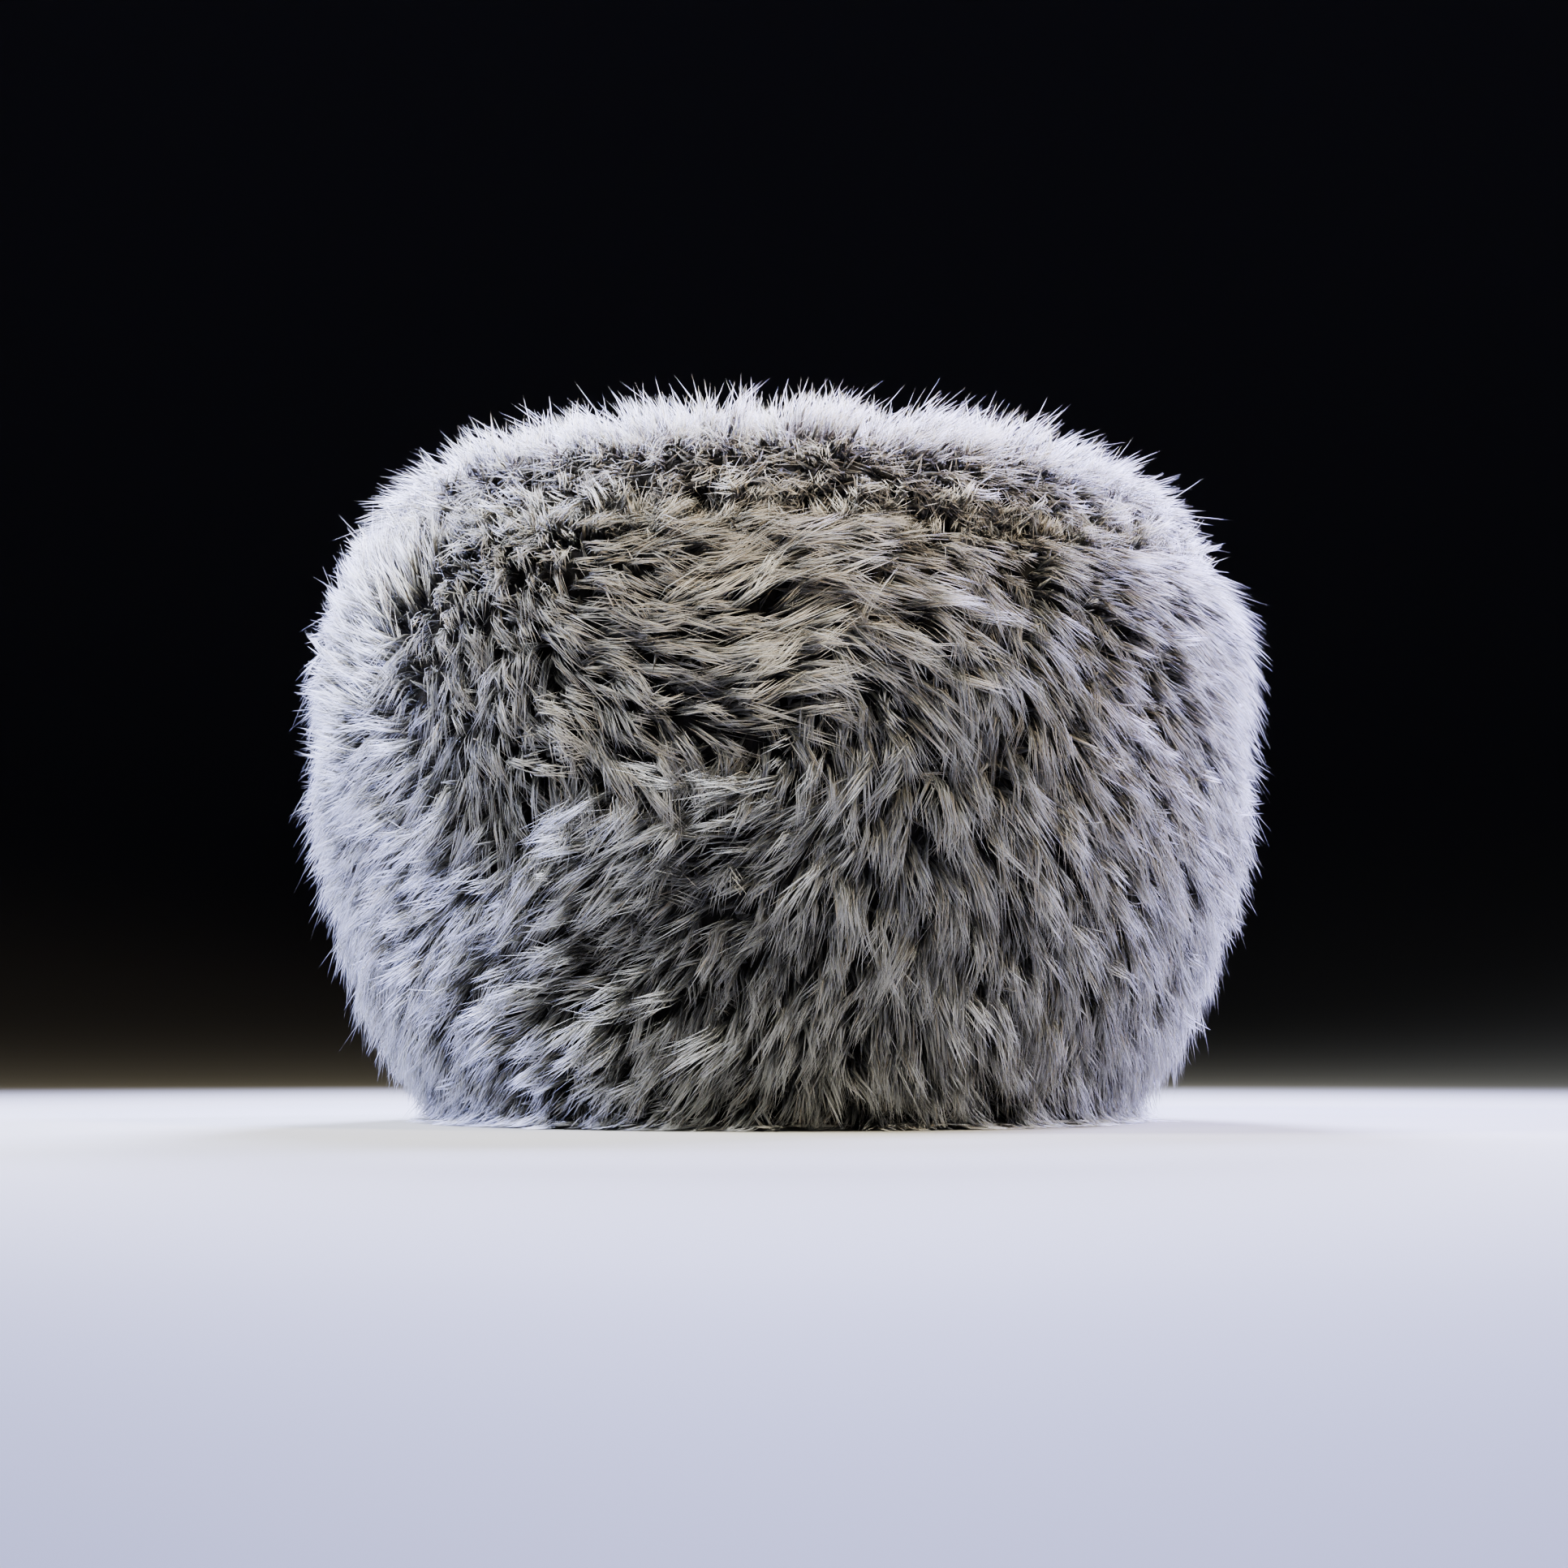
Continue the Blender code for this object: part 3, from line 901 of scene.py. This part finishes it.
def lay_map(mesh):
    """Lays a cloth's map: right round the hat, and by radius and height together along the cloth."""
    layer = mesh.uv_layers.new(name=UV_NAME)
    for face in mesh.polygons:
        places = [mesh.vertices[index].co for index in face.vertices]
        turns = [math.atan2(place.x, -place.y) / FULL_TURN % 1.0 for place in places]
        seam = max(turns) - min(turns) > HALF_MAP
        for corner, place, turn in zip(face.loop_indices, places, turns):
            if seam and turn < HALF_MAP:
                turn += 1.0
            reach = math.hypot(place.x, place.y / LENGTHEN) + place.z
            layer.data[corner].uv = (turn, reach)


def edge_radius(edge):
    middle = (edge.verts[0].co + edge.verts[1].co) * 0.5
    return math.hypot(middle.x, middle.y)


def is_sheet_rim(edge):
    """Tells the edges where a cloth's cut end meets its two faces."""
    if len(edge.link_faces) != 2:
        return False
    return edge.calc_face_angle(0.0) > CLOTH_RIM_ANGLE


def face_outward(bm):
    """Turns an open sheet's faces away from the middle of the hat."""
    bmesh.ops.recalc_face_normals(bm, faces=bm.faces)
    bm.faces.ensure_lookup_table()
    face = max(bm.faces, key=lambda each: each.calc_area())
    if face.normal.dot(face.calc_center_median() - MIDDLE) < 0.0:
        bmesh.ops.reverse_faces(bm, faces=bm.faces)


def build_cloth(name, profile, material, node):
    """A knitted cloth: a turned sheet with its thickness inside and its cut edges rounded."""
    bm = turn_profile(fine_profile(profile, CLOTH_STEP))
    hole = [edge for edge in bm.edges if edge.is_boundary and edge_radius(edge) < CLOTH_HOLE]
    bmesh.ops.holes_fill(bm, edges=hole, sides=0)
    face_outward(bm)
    bmesh.ops.solidify(bm, geom=bm.faces[:], thickness=CLOTH)
    bmesh.ops.bevel(
        bm,
        geom=[edge for edge in bm.edges if is_sheet_rim(edge)],
        offset=CLOTH_ROUNDING,
        offset_type="OFFSET",
        segments=CLOTH_ROUND_STEPS,
        profile=0.5,
        affect="EDGES",
        clamp_overlap=True,
        material=-1,
    )
    bmesh.ops.recalc_face_normals(bm, faces=bm.faces)
    lengthen(bm)
    mesh = finish_turned(name, bm)
    lay_map(mesh)
    add_piece(name, mesh, material, [node])


def rumple(bm):
    """Presses a closed form's outer face in here and there, so that it isn't a turned solid."""
    bm.normal_update()
    for vert in bm.verts:
        push = noise.noise(vert.co / RUMPLE_SIZE)
        push += RUMPLE_FINE_SHARE * noise.noise(vert.co / (RUMPLE_SIZE * RUMPLE_FINE))
        away = (vert.co - MIDDLE).normalized()
        if vert.normal.dot(away) > OUTER_FACE:
            vert.co += vert.normal * (RUMPLE_DEPTH * min(push, 0.0))


def build_underfur(name, profile, material, node):
    """Dense dark underfur: a closed turned form with an uneven outer face."""
    ring = fine_profile([*profile, profile[0]], UNDERFUR_STEP)[:-1]
    bm = turn_profile(ring, closed=True)
    bmesh.ops.recalc_face_normals(bm, faces=bm.faces)
    rumple(bm)
    lengthen(bm)
    add_piece(name, finish_turned(name, bm), material, [node])


# Pile of joined strands


def unit(vectors):
    size = np.linalg.norm(vectors, axis=-1, keepdims=True)
    return vectors / np.maximum(size, TOUCH * TOUCH)


def turned(first, second, angle):
    """Gives directions that are turned by an angle from a first one toward a second."""
    return first * np.cos(angle)[:, None] + second * np.sin(angle)[:, None]


def turn_from(azimuth, degrees):
    """Gives how far round azimuths lie from one in degrees, the short way."""
    turn = azimuth - math.radians(degrees)
    return np.arctan2(np.sin(turn), np.cos(turn))


def surface(profile, azimuth, run):
    """Gives places on a turned profile with their outward, left and onward directions."""
    points = np.array(profile)
    runs = run_of(points)
    steps = unit(np.diff(points, axis=0))
    corner = np.vstack([steps[:1], 0.5 * (steps[1:] + steps[:-1]), steps[-1:]])
    onward_r = np.interp(run, runs, corner[:, 0])
    onward_z = np.interp(run, runs, corner[:, 1])
    size = np.hypot(onward_r, onward_z)
    onward_r = onward_r / size
    onward_z = onward_z / size
    radius = np.interp(run, runs, points[:, 0])
    height = np.interp(run, runs, points[:, 1])
    level = np.stack([np.sin(azimuth), -np.cos(azimuth), np.zeros_like(azimuth)], axis=1)
    left = np.stack([np.cos(azimuth), np.sin(azimuth), np.zeros_like(azimuth)], axis=1)
    up = np.array([0.0, 0.0, 1.0])
    place = level * radius[:, None] + up * height[:, None]
    normal = level * -onward_z[:, None] + up * onward_r[:, None]
    onward = level * onward_r[:, None] + up * onward_z[:, None]
    return place, normal, left, onward


def scatter(profile, count):
    """Gives azimuths and runs that are spread evenly over a turned profile's area."""
    points = np.array(profile)
    runs = run_of(points)
    fine = np.linspace(0.0, runs[-1], AREA_STEPS)
    radius = np.interp(fine, runs, points[:, 0])
    strips = 0.5 * (radius[1:] + radius[:-1]) * np.diff(fine)
    area = np.concatenate([[0.0], np.cumsum(strips)])
    steps = np.arange(count)
    around = (0.5 + steps / PLASTIC_RATIO) % 1.0
    along = (0.5 + steps / PLASTIC_RATIO**2) % 1.0
    return around * FULL_TURN - math.pi, np.interp(along * area[-1], area, fine)


def comb(azimuth, height):
    """Gives where the side's tips point, as across and up."""
    across = np.zeros_like(azimuth)
    up = np.zeros_like(azimuth)
    for row_azimuth, row_height, row_across, row_up in COMBING:
        gap = np.hypot(turn_from(azimuth, row_azimuth) * COMB_RADIUS, height - row_height)
        weight = 1.0 / (gap + COMB_BLEND) ** COMB_FALL
        across += row_across * weight
        up += row_up * weight
    size = np.hypot(across, up)
    return across / size, up / size


def add_waves(table, azimuth, height):
    """Adds up a table's slow waves."""
    total = np.zeros_like(azimuth)
    for turns, waves, size, shift in table:
        total += size * np.sin(azimuth * turns + height * waves * FULL_TURN + shift)
    return total


def stir(azimuth, height):
    """Gives the angle that the slow waves turn the combing by."""
    return np.radians(add_waves(STIRS, azimuth, height))


def nearness(table, azimuth, height):
    """Gives how strongly places lie in the oval patches of a table."""
    total = np.zeros_like(azimuth)
    for row_azimuth, row_height, reach_around, reach_up, depth in table:
        around = turn_from(azimuth, row_azimuth) * COMB_RADIUS / reach_around
        gap = np.hypot(around, (height - row_height) / reach_up)
        total = np.maximum(total, depth * np.exp(-gap**2))
    return total


def find_tufts(pile, place, chance):
    """Shares locks out among the tufts that stand nearest to them."""
    azimuth, run = scatter(pile.skin, pile.tufts)
    azimuth = azimuth + chance.normal(0.0, TUFT_STRAY, pile.tufts)
    centres = surface(pile.skin, azimuth, run)[0]
    tree = kdtree.KDTree(pile.tufts)
    for index, centre in enumerate(centres):
        tree.insert(centre, index)
    tree.balance()
    nearest = np.array([tree.find(spot)[1] for spot in place])
    return nearest, centres[nearest] - place


def make_locks(pile, lay_rule, shape_rule, chance):
    """Plans the locks of a pile: their roots, directions, sizes and tones."""
    count = pile.locks
    azimuth, run = scatter(pile.skin, count)
    azimuth = azimuth + chance.normal(0.0, ROOT_STRAY, count)
    place, normal, left, onward = surface(pile.skin, azimuth, run)
    height = place[:, 2]
    member, pull = find_tufts(pile, place, chance)
    tuft_turn = chance.normal(0.0, TUFT_TURN, pile.tufts)[member]
    tuft_lift = chance.uniform(*TUFT_LIFT, pile.tufts)[member]
    tuft_tone = chance.normal(0.0, TUFT_TONE, pile.tufts)[member]
    lay = lay_rule(azimuth, height, left, onward)
    lay = unit(lay - normal * np.sum(lay * normal, axis=1, keepdims=True))
    ruffle = nearness(RUFFLES, azimuth, height)
    turn = chance.normal(0.0, 1.0, count) * (pile.spread + ruffle) + tuft_turn
    lay = turned(lay, np.cross(normal, lay), turn)
    # Hollows shorten and flatten the locks, and darken their tone as painted shade
    hollow = nearness(HOLLOWS, azimuth, height)
    warm = nearness(WARM_PLACES, azimuth, height)
    # Painted light: the fur is painted paler where the lamps fall strongly on it
    pale = nearness(PAINTED_LIGHT_PLACES, azimuth, height)
    # Swells lift the tufts, and paint the tone lighter or darker with them as painted light and shade
    swell = add_waves(SWELLS, azimuth, height)
    length = chance.uniform(*LOCK_LENGTH, count) * (1.0 - HOLLOW_LENGTH * hollow)
    lift = chance.uniform(*LOCK_LIFT, count) * (1.0 - HOLLOW_LIFT * hollow)
    lift = np.minimum(lift * (EVEN_LIFT + swell) * tuft_lift, LIFT_TOP)
    upright = chance.uniform(0.0, 1.0, count) < UPRIGHT_SHARE
    length = np.where(upright, length * UPRIGHT_LENGTH, length)
    rise_share, sweep_share = shape_rule(height)
    wave = LOCK_WAVE * chance.uniform(*LOCK_WAVES, count)
    phase = chance.uniform(0.0, 1.0, count)
    curl = chance.uniform(*LOCK_CURL, count)
    size = chance.uniform(*LOCK_SIZE, count)
    pull = pull * (TUFT_PULL * chance.uniform(*LOCK_PULL, count))[:, None]
    tone = chance.normal(MEAN_TONE, TONE_SPREAD, count) + tuft_tone
    tone = tone - HOLLOW_PAINTED_SHADE * hollow + SWELL_LIGHT_AND_SHADE * swell + WARM_TONE * warm + PAINTED_LIGHT_TONE * pale
    return {
        "place": place,
        "normal": normal,
        "lay": lay,
        "side": np.cross(normal, lay),
        "rise": pile.rise * rise_share * lift,
        "sweep": pile.sweep * sweep_share * length,
        "wave": wave,
        "phase": phase,
        "curl": curl,
        "size": size,
        "pull": pull,
        "tone": np.clip(tone, 0.0, 1.0),
        "warm": warm,
    }


def even_shape(height):
    """Locks rise and sweep the same everywhere."""
    share = np.ones_like(height)
    return share, share


def side_shape(height):
    """Locks are pressed lower and shorter toward the floor."""
    share = np.clip(FOOT_SHARE + (1.0 - FOOT_SHARE) * height / FOOT_HEIGHT, 0.0, 1.0)
    return share, share


def shoulder_shape(height):
    """Locks lie lower and longer over the crown's shoulder."""
    top = np.clip((height - SHOULDER_HEIGHT) / SHOULDER_REACH, 0.0, 1.0)
    rise = SHOULDER_RISE + (1.0 - SHOULDER_RISE) * top
    return rise, SHOULDER_SWEEP + (1.0 - SHOULDER_SWEEP) * top


def side_lay(azimuth, height, left, onward):
    """The side's locks follow the combing, with the slow waves."""
    across, up = comb(azimuth, height)
    return turned(left, -onward, np.arctan2(up, across) + stir(azimuth, height))


def seam_lay(azimuth, height, left, onward):
    """The locks in the seam's groove lean out of it, some up and some down."""
    return turned(left, -onward, SEAM_STIR * stir(azimuth, height) + SEAM_LEAN)


def crown_lay(azimuth, height, left, onward):
    """The crown's locks fan out from its middle with a slow turn."""
    return turned(onward, left, CROWN_TURN + CROWN_STIR * stir(azimuth, height))


def rim_lay(azimuth, height, left, onward):
    """The rim's locks are pressed flat and point out from the opening."""
    return turned(-onward, left, RIM_STIR * stir(azimuth, height))


def strand_paths(own, coat, chance):
    """Gives places along strands, which gather toward the tip of the lock that each belongs to."""
    count = len(own["phase"])
    end = chance.uniform(*STRAND_END, count) * coat.end
    t = (coat.start + np.array(STATIONS) * (end[:, None] - coat.start))[:, :, None]
    angle = chance.uniform(0.0, FULL_TURN, count)
    reach = LOCK_ROOT * coat.spread * own["size"] * np.sqrt(chance.uniform(0.0, 1.0, count))
    lay = own["lay"][:, None, :]
    side = own["side"][:, None, :]
    offset = lay * (reach * np.cos(angle))[:, None, None]
    offset = offset + side * (reach * np.sin(angle))[:, None, None]
    rise = (own["rise"] * chance.uniform(*STRAND_RISE, count))[:, None, None]
    sweep = own["sweep"][:, None, None]
    wave = own["wave"][:, None, None]
    phase = (own["phase"] + chance.normal(0.0, PHASE_STRAY, count))[:, None, None]
    bend = np.sin(FULL_TURN * (own["curl"][:, None, None] * t + phase)) - np.sin(FULL_TURN * phase)
    drift = chance.normal(0.0, coat.stray, (count, 1, 3))
    gathered = 1.0 - coat.gather * np.clip(t, 0.0, 1.0) ** GATHER_BEND
    lifted = 1.0 - np.clip(1.0 - t, 0.0, 1.0) ** LIFT_BEND
    path = own["place"][:, None, :] + offset * gathered
    path = path + own["normal"][:, None, :] * rise * lifted
    path = path + lay * sweep * t**SWEEP_BEND
    path = path + side * wave * bend * np.sqrt(t)
    path = path + drift * t**DRIFT_BEND
    path = path + own["pull"][:, None, :] * np.clip(t, 0.0, 1.0) ** PULL_BEND
    return keep_in_reach(path)


def keep_in_reach(path):
    """Keeps strands over the floor and inside the pile's greatest reach."""
    level = np.hypot(path[..., 0], path[..., 1])
    over = np.maximum(level - TIP_REACH, 0.0)
    shrink = (level - KEEP_SHARE * over) / np.maximum(level, TOUCH)
    path[..., 0] *= shrink
    path[..., 1] *= shrink
    high = np.maximum(path[..., 2] - TIP_HEIGHT, 0.0)
    path[..., 2] -= KEEP_SHARE * high
    low = np.maximum(FLOOR_LAYER - path[..., 2], 0.0)
    spread = 1.0 + KEEP_SHARE * low / np.maximum(level, TOUCH)
    path[..., 0] *= spread
    path[..., 1] *= spread
    floor = FLOOR_CLEAR + (FLOOR_LAYER - FLOOR_CLEAR) * np.exp(-low / FLOOR_LAYER)
    path[..., 2] = np.where(low > 0.0, floor, path[..., 2])
    return path


def strand_solid(path, out, width):
    """Wraps each path in a closed three-sided strand that tapers to its root and its tip."""
    root, middle, tip = path[:, 0], path[:, 1], path[:, 2]
    tangent = unit(tip - root)
    side = unit(np.cross(out, tangent))
    up = np.cross(tangent, side)
    half = 0.5 * width[:, None]
    right = middle + side * half - up * half * EDGE_DROP
    ridge = middle + up * half * RIDGE_RISE
    left = middle - side * half - up * half * EDGE_DROP
    return np.stack([root, right, ridge, left, tip], axis=1)


def strand_map(coat):
    """Gives one strand's corners on the map: across its tone and along from root to tip."""
    root, middle, tip = coat.start + np.array(STATIONS) * (1.0 - coat.start)
    across = np.array([0.5, 0.0, 0.5, 1.0, 0.5])
    along = np.array([root, middle, middle, middle, tip])
    return across, along * coat.map_top


def grow_coat(locks, keep, coat, chance):
    """Grows one coat of strands on the kept locks, as corners, triangles and their map."""
    owner = np.repeat(keep, coat.strands)
    own = {key: values[owner] for key, values in locks.items()}
    count = len(owner)
    path = strand_paths(own, coat, chance)
    widths = coat.width * chance.uniform(*STRAND_WIDTH, count) * own["size"]
    verts = strand_solid(path, own["normal"], widths)
    faces = np.array(STRAND_FACES) + (np.arange(count) * verts.shape[1])[:, None, None]
    tone = np.clip(own["tone"] + chance.normal(0.0, STRAND_TONE, count), *TONE_ENDS)
    sandy = chance.uniform(0.0, 1.0, count) < own["warm"] + SANDY_SHARE
    cool_column = np.interp(tone, (0.0, 1.0), COOL_RANGE)
    sandy_column = np.interp(tone, (0.0, 1.0), SANDY_RANGE)
    column = np.where(sandy, sandy_column, cool_column)
    across, along = strand_map(coat)
    u = column[:, None] + (across[None] - 0.5) * coat.map_width
    v = np.broadcast_to(MAP_ROOT + MAP_HEIGHT * along[None], u.shape)
    corners = np.stack([u, v], axis=2).reshape(-1, 2)
    faces = faces.reshape(-1, 3)
    return verts.reshape(-1, 3), faces, corners[faces.reshape(-1)]


def build_strands(name, growth, material, chance):
    """Joins strands into one piece; each row of growth is a plan, which of its locks and a coat."""
    verts = []
    faces = []
    corners = []
    so_far = 0
    for locks, keep, coat in growth:
        coat_verts, coat_faces, coat_corners = grow_coat(locks, keep, coat, chance)
        verts.append(coat_verts)
        faces.append(coat_faces + so_far)
        corners.append(coat_corners)
        so_far += len(coat_verts)
    verts = np.concatenate(verts)
    verts[:, 1] *= LENGTHEN
    mesh = joined_mesh(name, verts, np.concatenate(faces), np.concatenate(corners))
    add_piece(name, mesh, material, [])


def build_parts(names, plans, material, chance):
    """Builds a pile in equal parts round the hat; each plan is some locks and their coats."""
    for index, name in enumerate(names):
        growth = []
        for locks, coats in plans:
            azimuth = np.arctan2(locks["place"][:, 0], -locks["place"][:, 1])
            part = np.floor((azimuth + math.pi) / FULL_TURN * len(names)).astype(int)
            keep = np.nonzero(part == index)[0]
            growth += [(locks, keep, coat) for coat in coats]
        build_strands(name, growth, material, chance)


def joined_mesh(name, verts, faces, corners):
    mesh = bpy.data.meshes.new(name)
    mesh.vertices.add(len(verts))
    mesh.vertices.foreach_set("co", verts.astype(np.float32).ravel())
    mesh.loops.add(faces.size)
    mesh.loops.foreach_set("vertex_index", faces.astype(np.int32).ravel())
    mesh.polygons.add(len(faces))
    mesh.polygons.foreach_set("loop_start", np.arange(0, faces.size, 3, dtype=np.int32))
    mesh.uv_layers.new(name=UV_NAME)
    mesh.update(calc_edges=True)
    layer = mesh.uv_layers[UV_NAME]
    layer.data.foreach_set("uv", corners.astype(np.float32).ravel())
    mesh.shade_smooth()
    return mesh


def join_locks(*plans):
    """Puts several plans of locks together."""
    return {key: np.concatenate([plan[key] for plan in plans]) for key in plans[0]}


def build_side_pile(material, chance):
    """The side's locks and the wool under them, in four pieces round the hat."""
    locks = make_locks(SIDE, side_lay, side_shape, chance)
    seam = make_locks(SEAM, seam_lay, even_shape, chance)
    wool = make_locks(SIDE_WOOL, side_lay, side_shape, chance)
    seam_wool = make_locks(SEAM_WOOL, seam_lay, even_shape, chance)
    plans = [(join_locks(locks, seam), LOCK_COATS), (join_locks(wool, seam_wool), WOOL_COATS)]
    build_parts(SIDE_PARTS, plans, material, chance)


def build_crown_pile(material, chance):
    """The crown's locks and the wool under them, in two pieces."""
    locks = make_locks(CROWN, crown_lay, shoulder_shape, chance)
    locks["pull"] *= CROWN_PULL
    wool = make_locks(CROWN_WOOL, crown_lay, even_shape, chance)
    shoulder_wool = make_locks(SHOULDER_WOOL, crown_lay, even_shape, chance)
    plans = [(locks, SOFT_COATS), (wool, WOOL_COATS), (shoulder_wool, FINE_WOOL_COATS)]
    build_parts(CROWN_PARTS, plans, material, chance)


def build_rim_pile(material, chance):
    """The rim's locks, pressed flat where the hat rests."""
    locks = make_locks(RIM, rim_lay, even_shape, chance)
    build_parts(("rim_pile",), [(locks, RIM_COATS)], material, chance)


# Floor and wall, lamps and camera


def stage_profile():
    """A flat floor, a wide quarter-round bend and an upright wall."""
    profile = [(0.0, 0.0), (FLOOR_REACH, 0.0)]
    for step in range(1, STAGE_STEPS + 1):
        angle = 0.5 * math.pi * step / STAGE_STEPS
        reach = FLOOR_REACH + WALL_BEND * math.sin(angle)
        profile.append((reach, WALL_BEND * (1.0 - math.cos(angle))))
    profile.append((FLOOR_REACH + WALL_BEND, WALL_HEIGHT))
    return profile


def build_stage():
    """A round pale floor that curves up into a darker wall."""
    bm = turn_profile(stage_profile())
    bmesh.ops.recalc_face_normals(bm, faces=bm.faces)
    mesh = finish_turned("studio_floor", bm)
    mesh.materials.append(make_floor_material())
    add_object("studio_floor", mesh)


def face_hat(name, data, azimuth, elevation, distance):
    """Puts a lamp or a camera round the hat, turned toward it."""
    holder = add_object(name, data)
    turn = math.radians(azimuth)
    rise = math.radians(elevation)
    level = math.cos(rise)
    back = Vector((math.sin(turn) * level, -math.cos(turn) * level, math.sin(rise)))
    holder.location = CAMERA_AIM + back * distance
    holder.rotation_euler = back.to_track_quat("Z", "Y").to_euler()
    return holder


def add_lamp(name, azimuth, elevation, size, watts, colour):
    lamp = bpy.data.lights.new(name, "AREA")
    lamp.energy = watts
    lamp.size = size
    lamp.color = colour
    lamp.spread = LAMP_SPREAD
    face_hat(name, lamp, azimuth, elevation, LAMP_DISTANCE).visible_camera = False


def build_lights():
    """The lamps, and a faint even light from all round."""
    for row in LAMPS:
        add_lamp(*row)
    world = bpy.data.worlds.new("studio")
    world.use_nodes = True
    backdrop = world.node_tree.nodes["Background"]
    backdrop.inputs["Color"].default_value = SKY_COLOUR
    backdrop.inputs["Strength"].default_value = SKY_STRENGTH
    bpy.context.scene.world = world


def build_camera():
    camera = bpy.data.cameras.new("camera")
    camera.lens = CAMERA_LENS
    holder = face_hat("camera", camera, CAMERA_AZIMUTH, CAMERA_ELEVATION, CAMERA_DISTANCE)
    bpy.context.scene.camera = holder


def dress_hat():
    """Builds the cloths, the underfur and the pile."""
    chance = np.random.default_rng(SEED)
    knit = make_knit_group()
    wall_cloth = make_cloth_material("backing_wall", knit, WALL_COLUMNS)
    crown_cloth = make_cloth_material("backing_crown", knit, CROWN_COLUMNS)
    build_cloth("side_band_cloth", SIDE_CLOTH, wall_cloth, "side_band")
    build_cloth("rim_band_cloth", RIM_CLOTH, wall_cloth, "rim_band")
    build_cloth("crown_cloth", CROWN_CLOTH, crown_cloth, "crown_top")
    dark = make_underfur_material("underfur_dark", make_streak_group())
    side_ring = (*SIDE_UNDERFUR, *SIDE_BACK)
    crown_ring = (*CROWN_UNDERFUR, *CROWN_BACK)
    build_underfur("side_underfur", side_ring, dark, "side_fur")
    build_underfur("rim_underfur", RIM_UNDERFUR, dark, "rim_fur")
    build_underfur("crown_underfur", crown_ring, dark, "crown_fur")
    tones = make_tone_group()
    side_look = make_strand_material("pile_side_hair", tones, SIDE_HAIR)
    crown_look = make_strand_material("pile_crown_hair", tones, CROWN_HAIR)
    build_side_pile(side_look, chance)
    build_crown_pile(crown_look, chance)
    build_rim_pile(side_look, chance)


dress_hat()
build_stage()
build_lights()
build_camera()
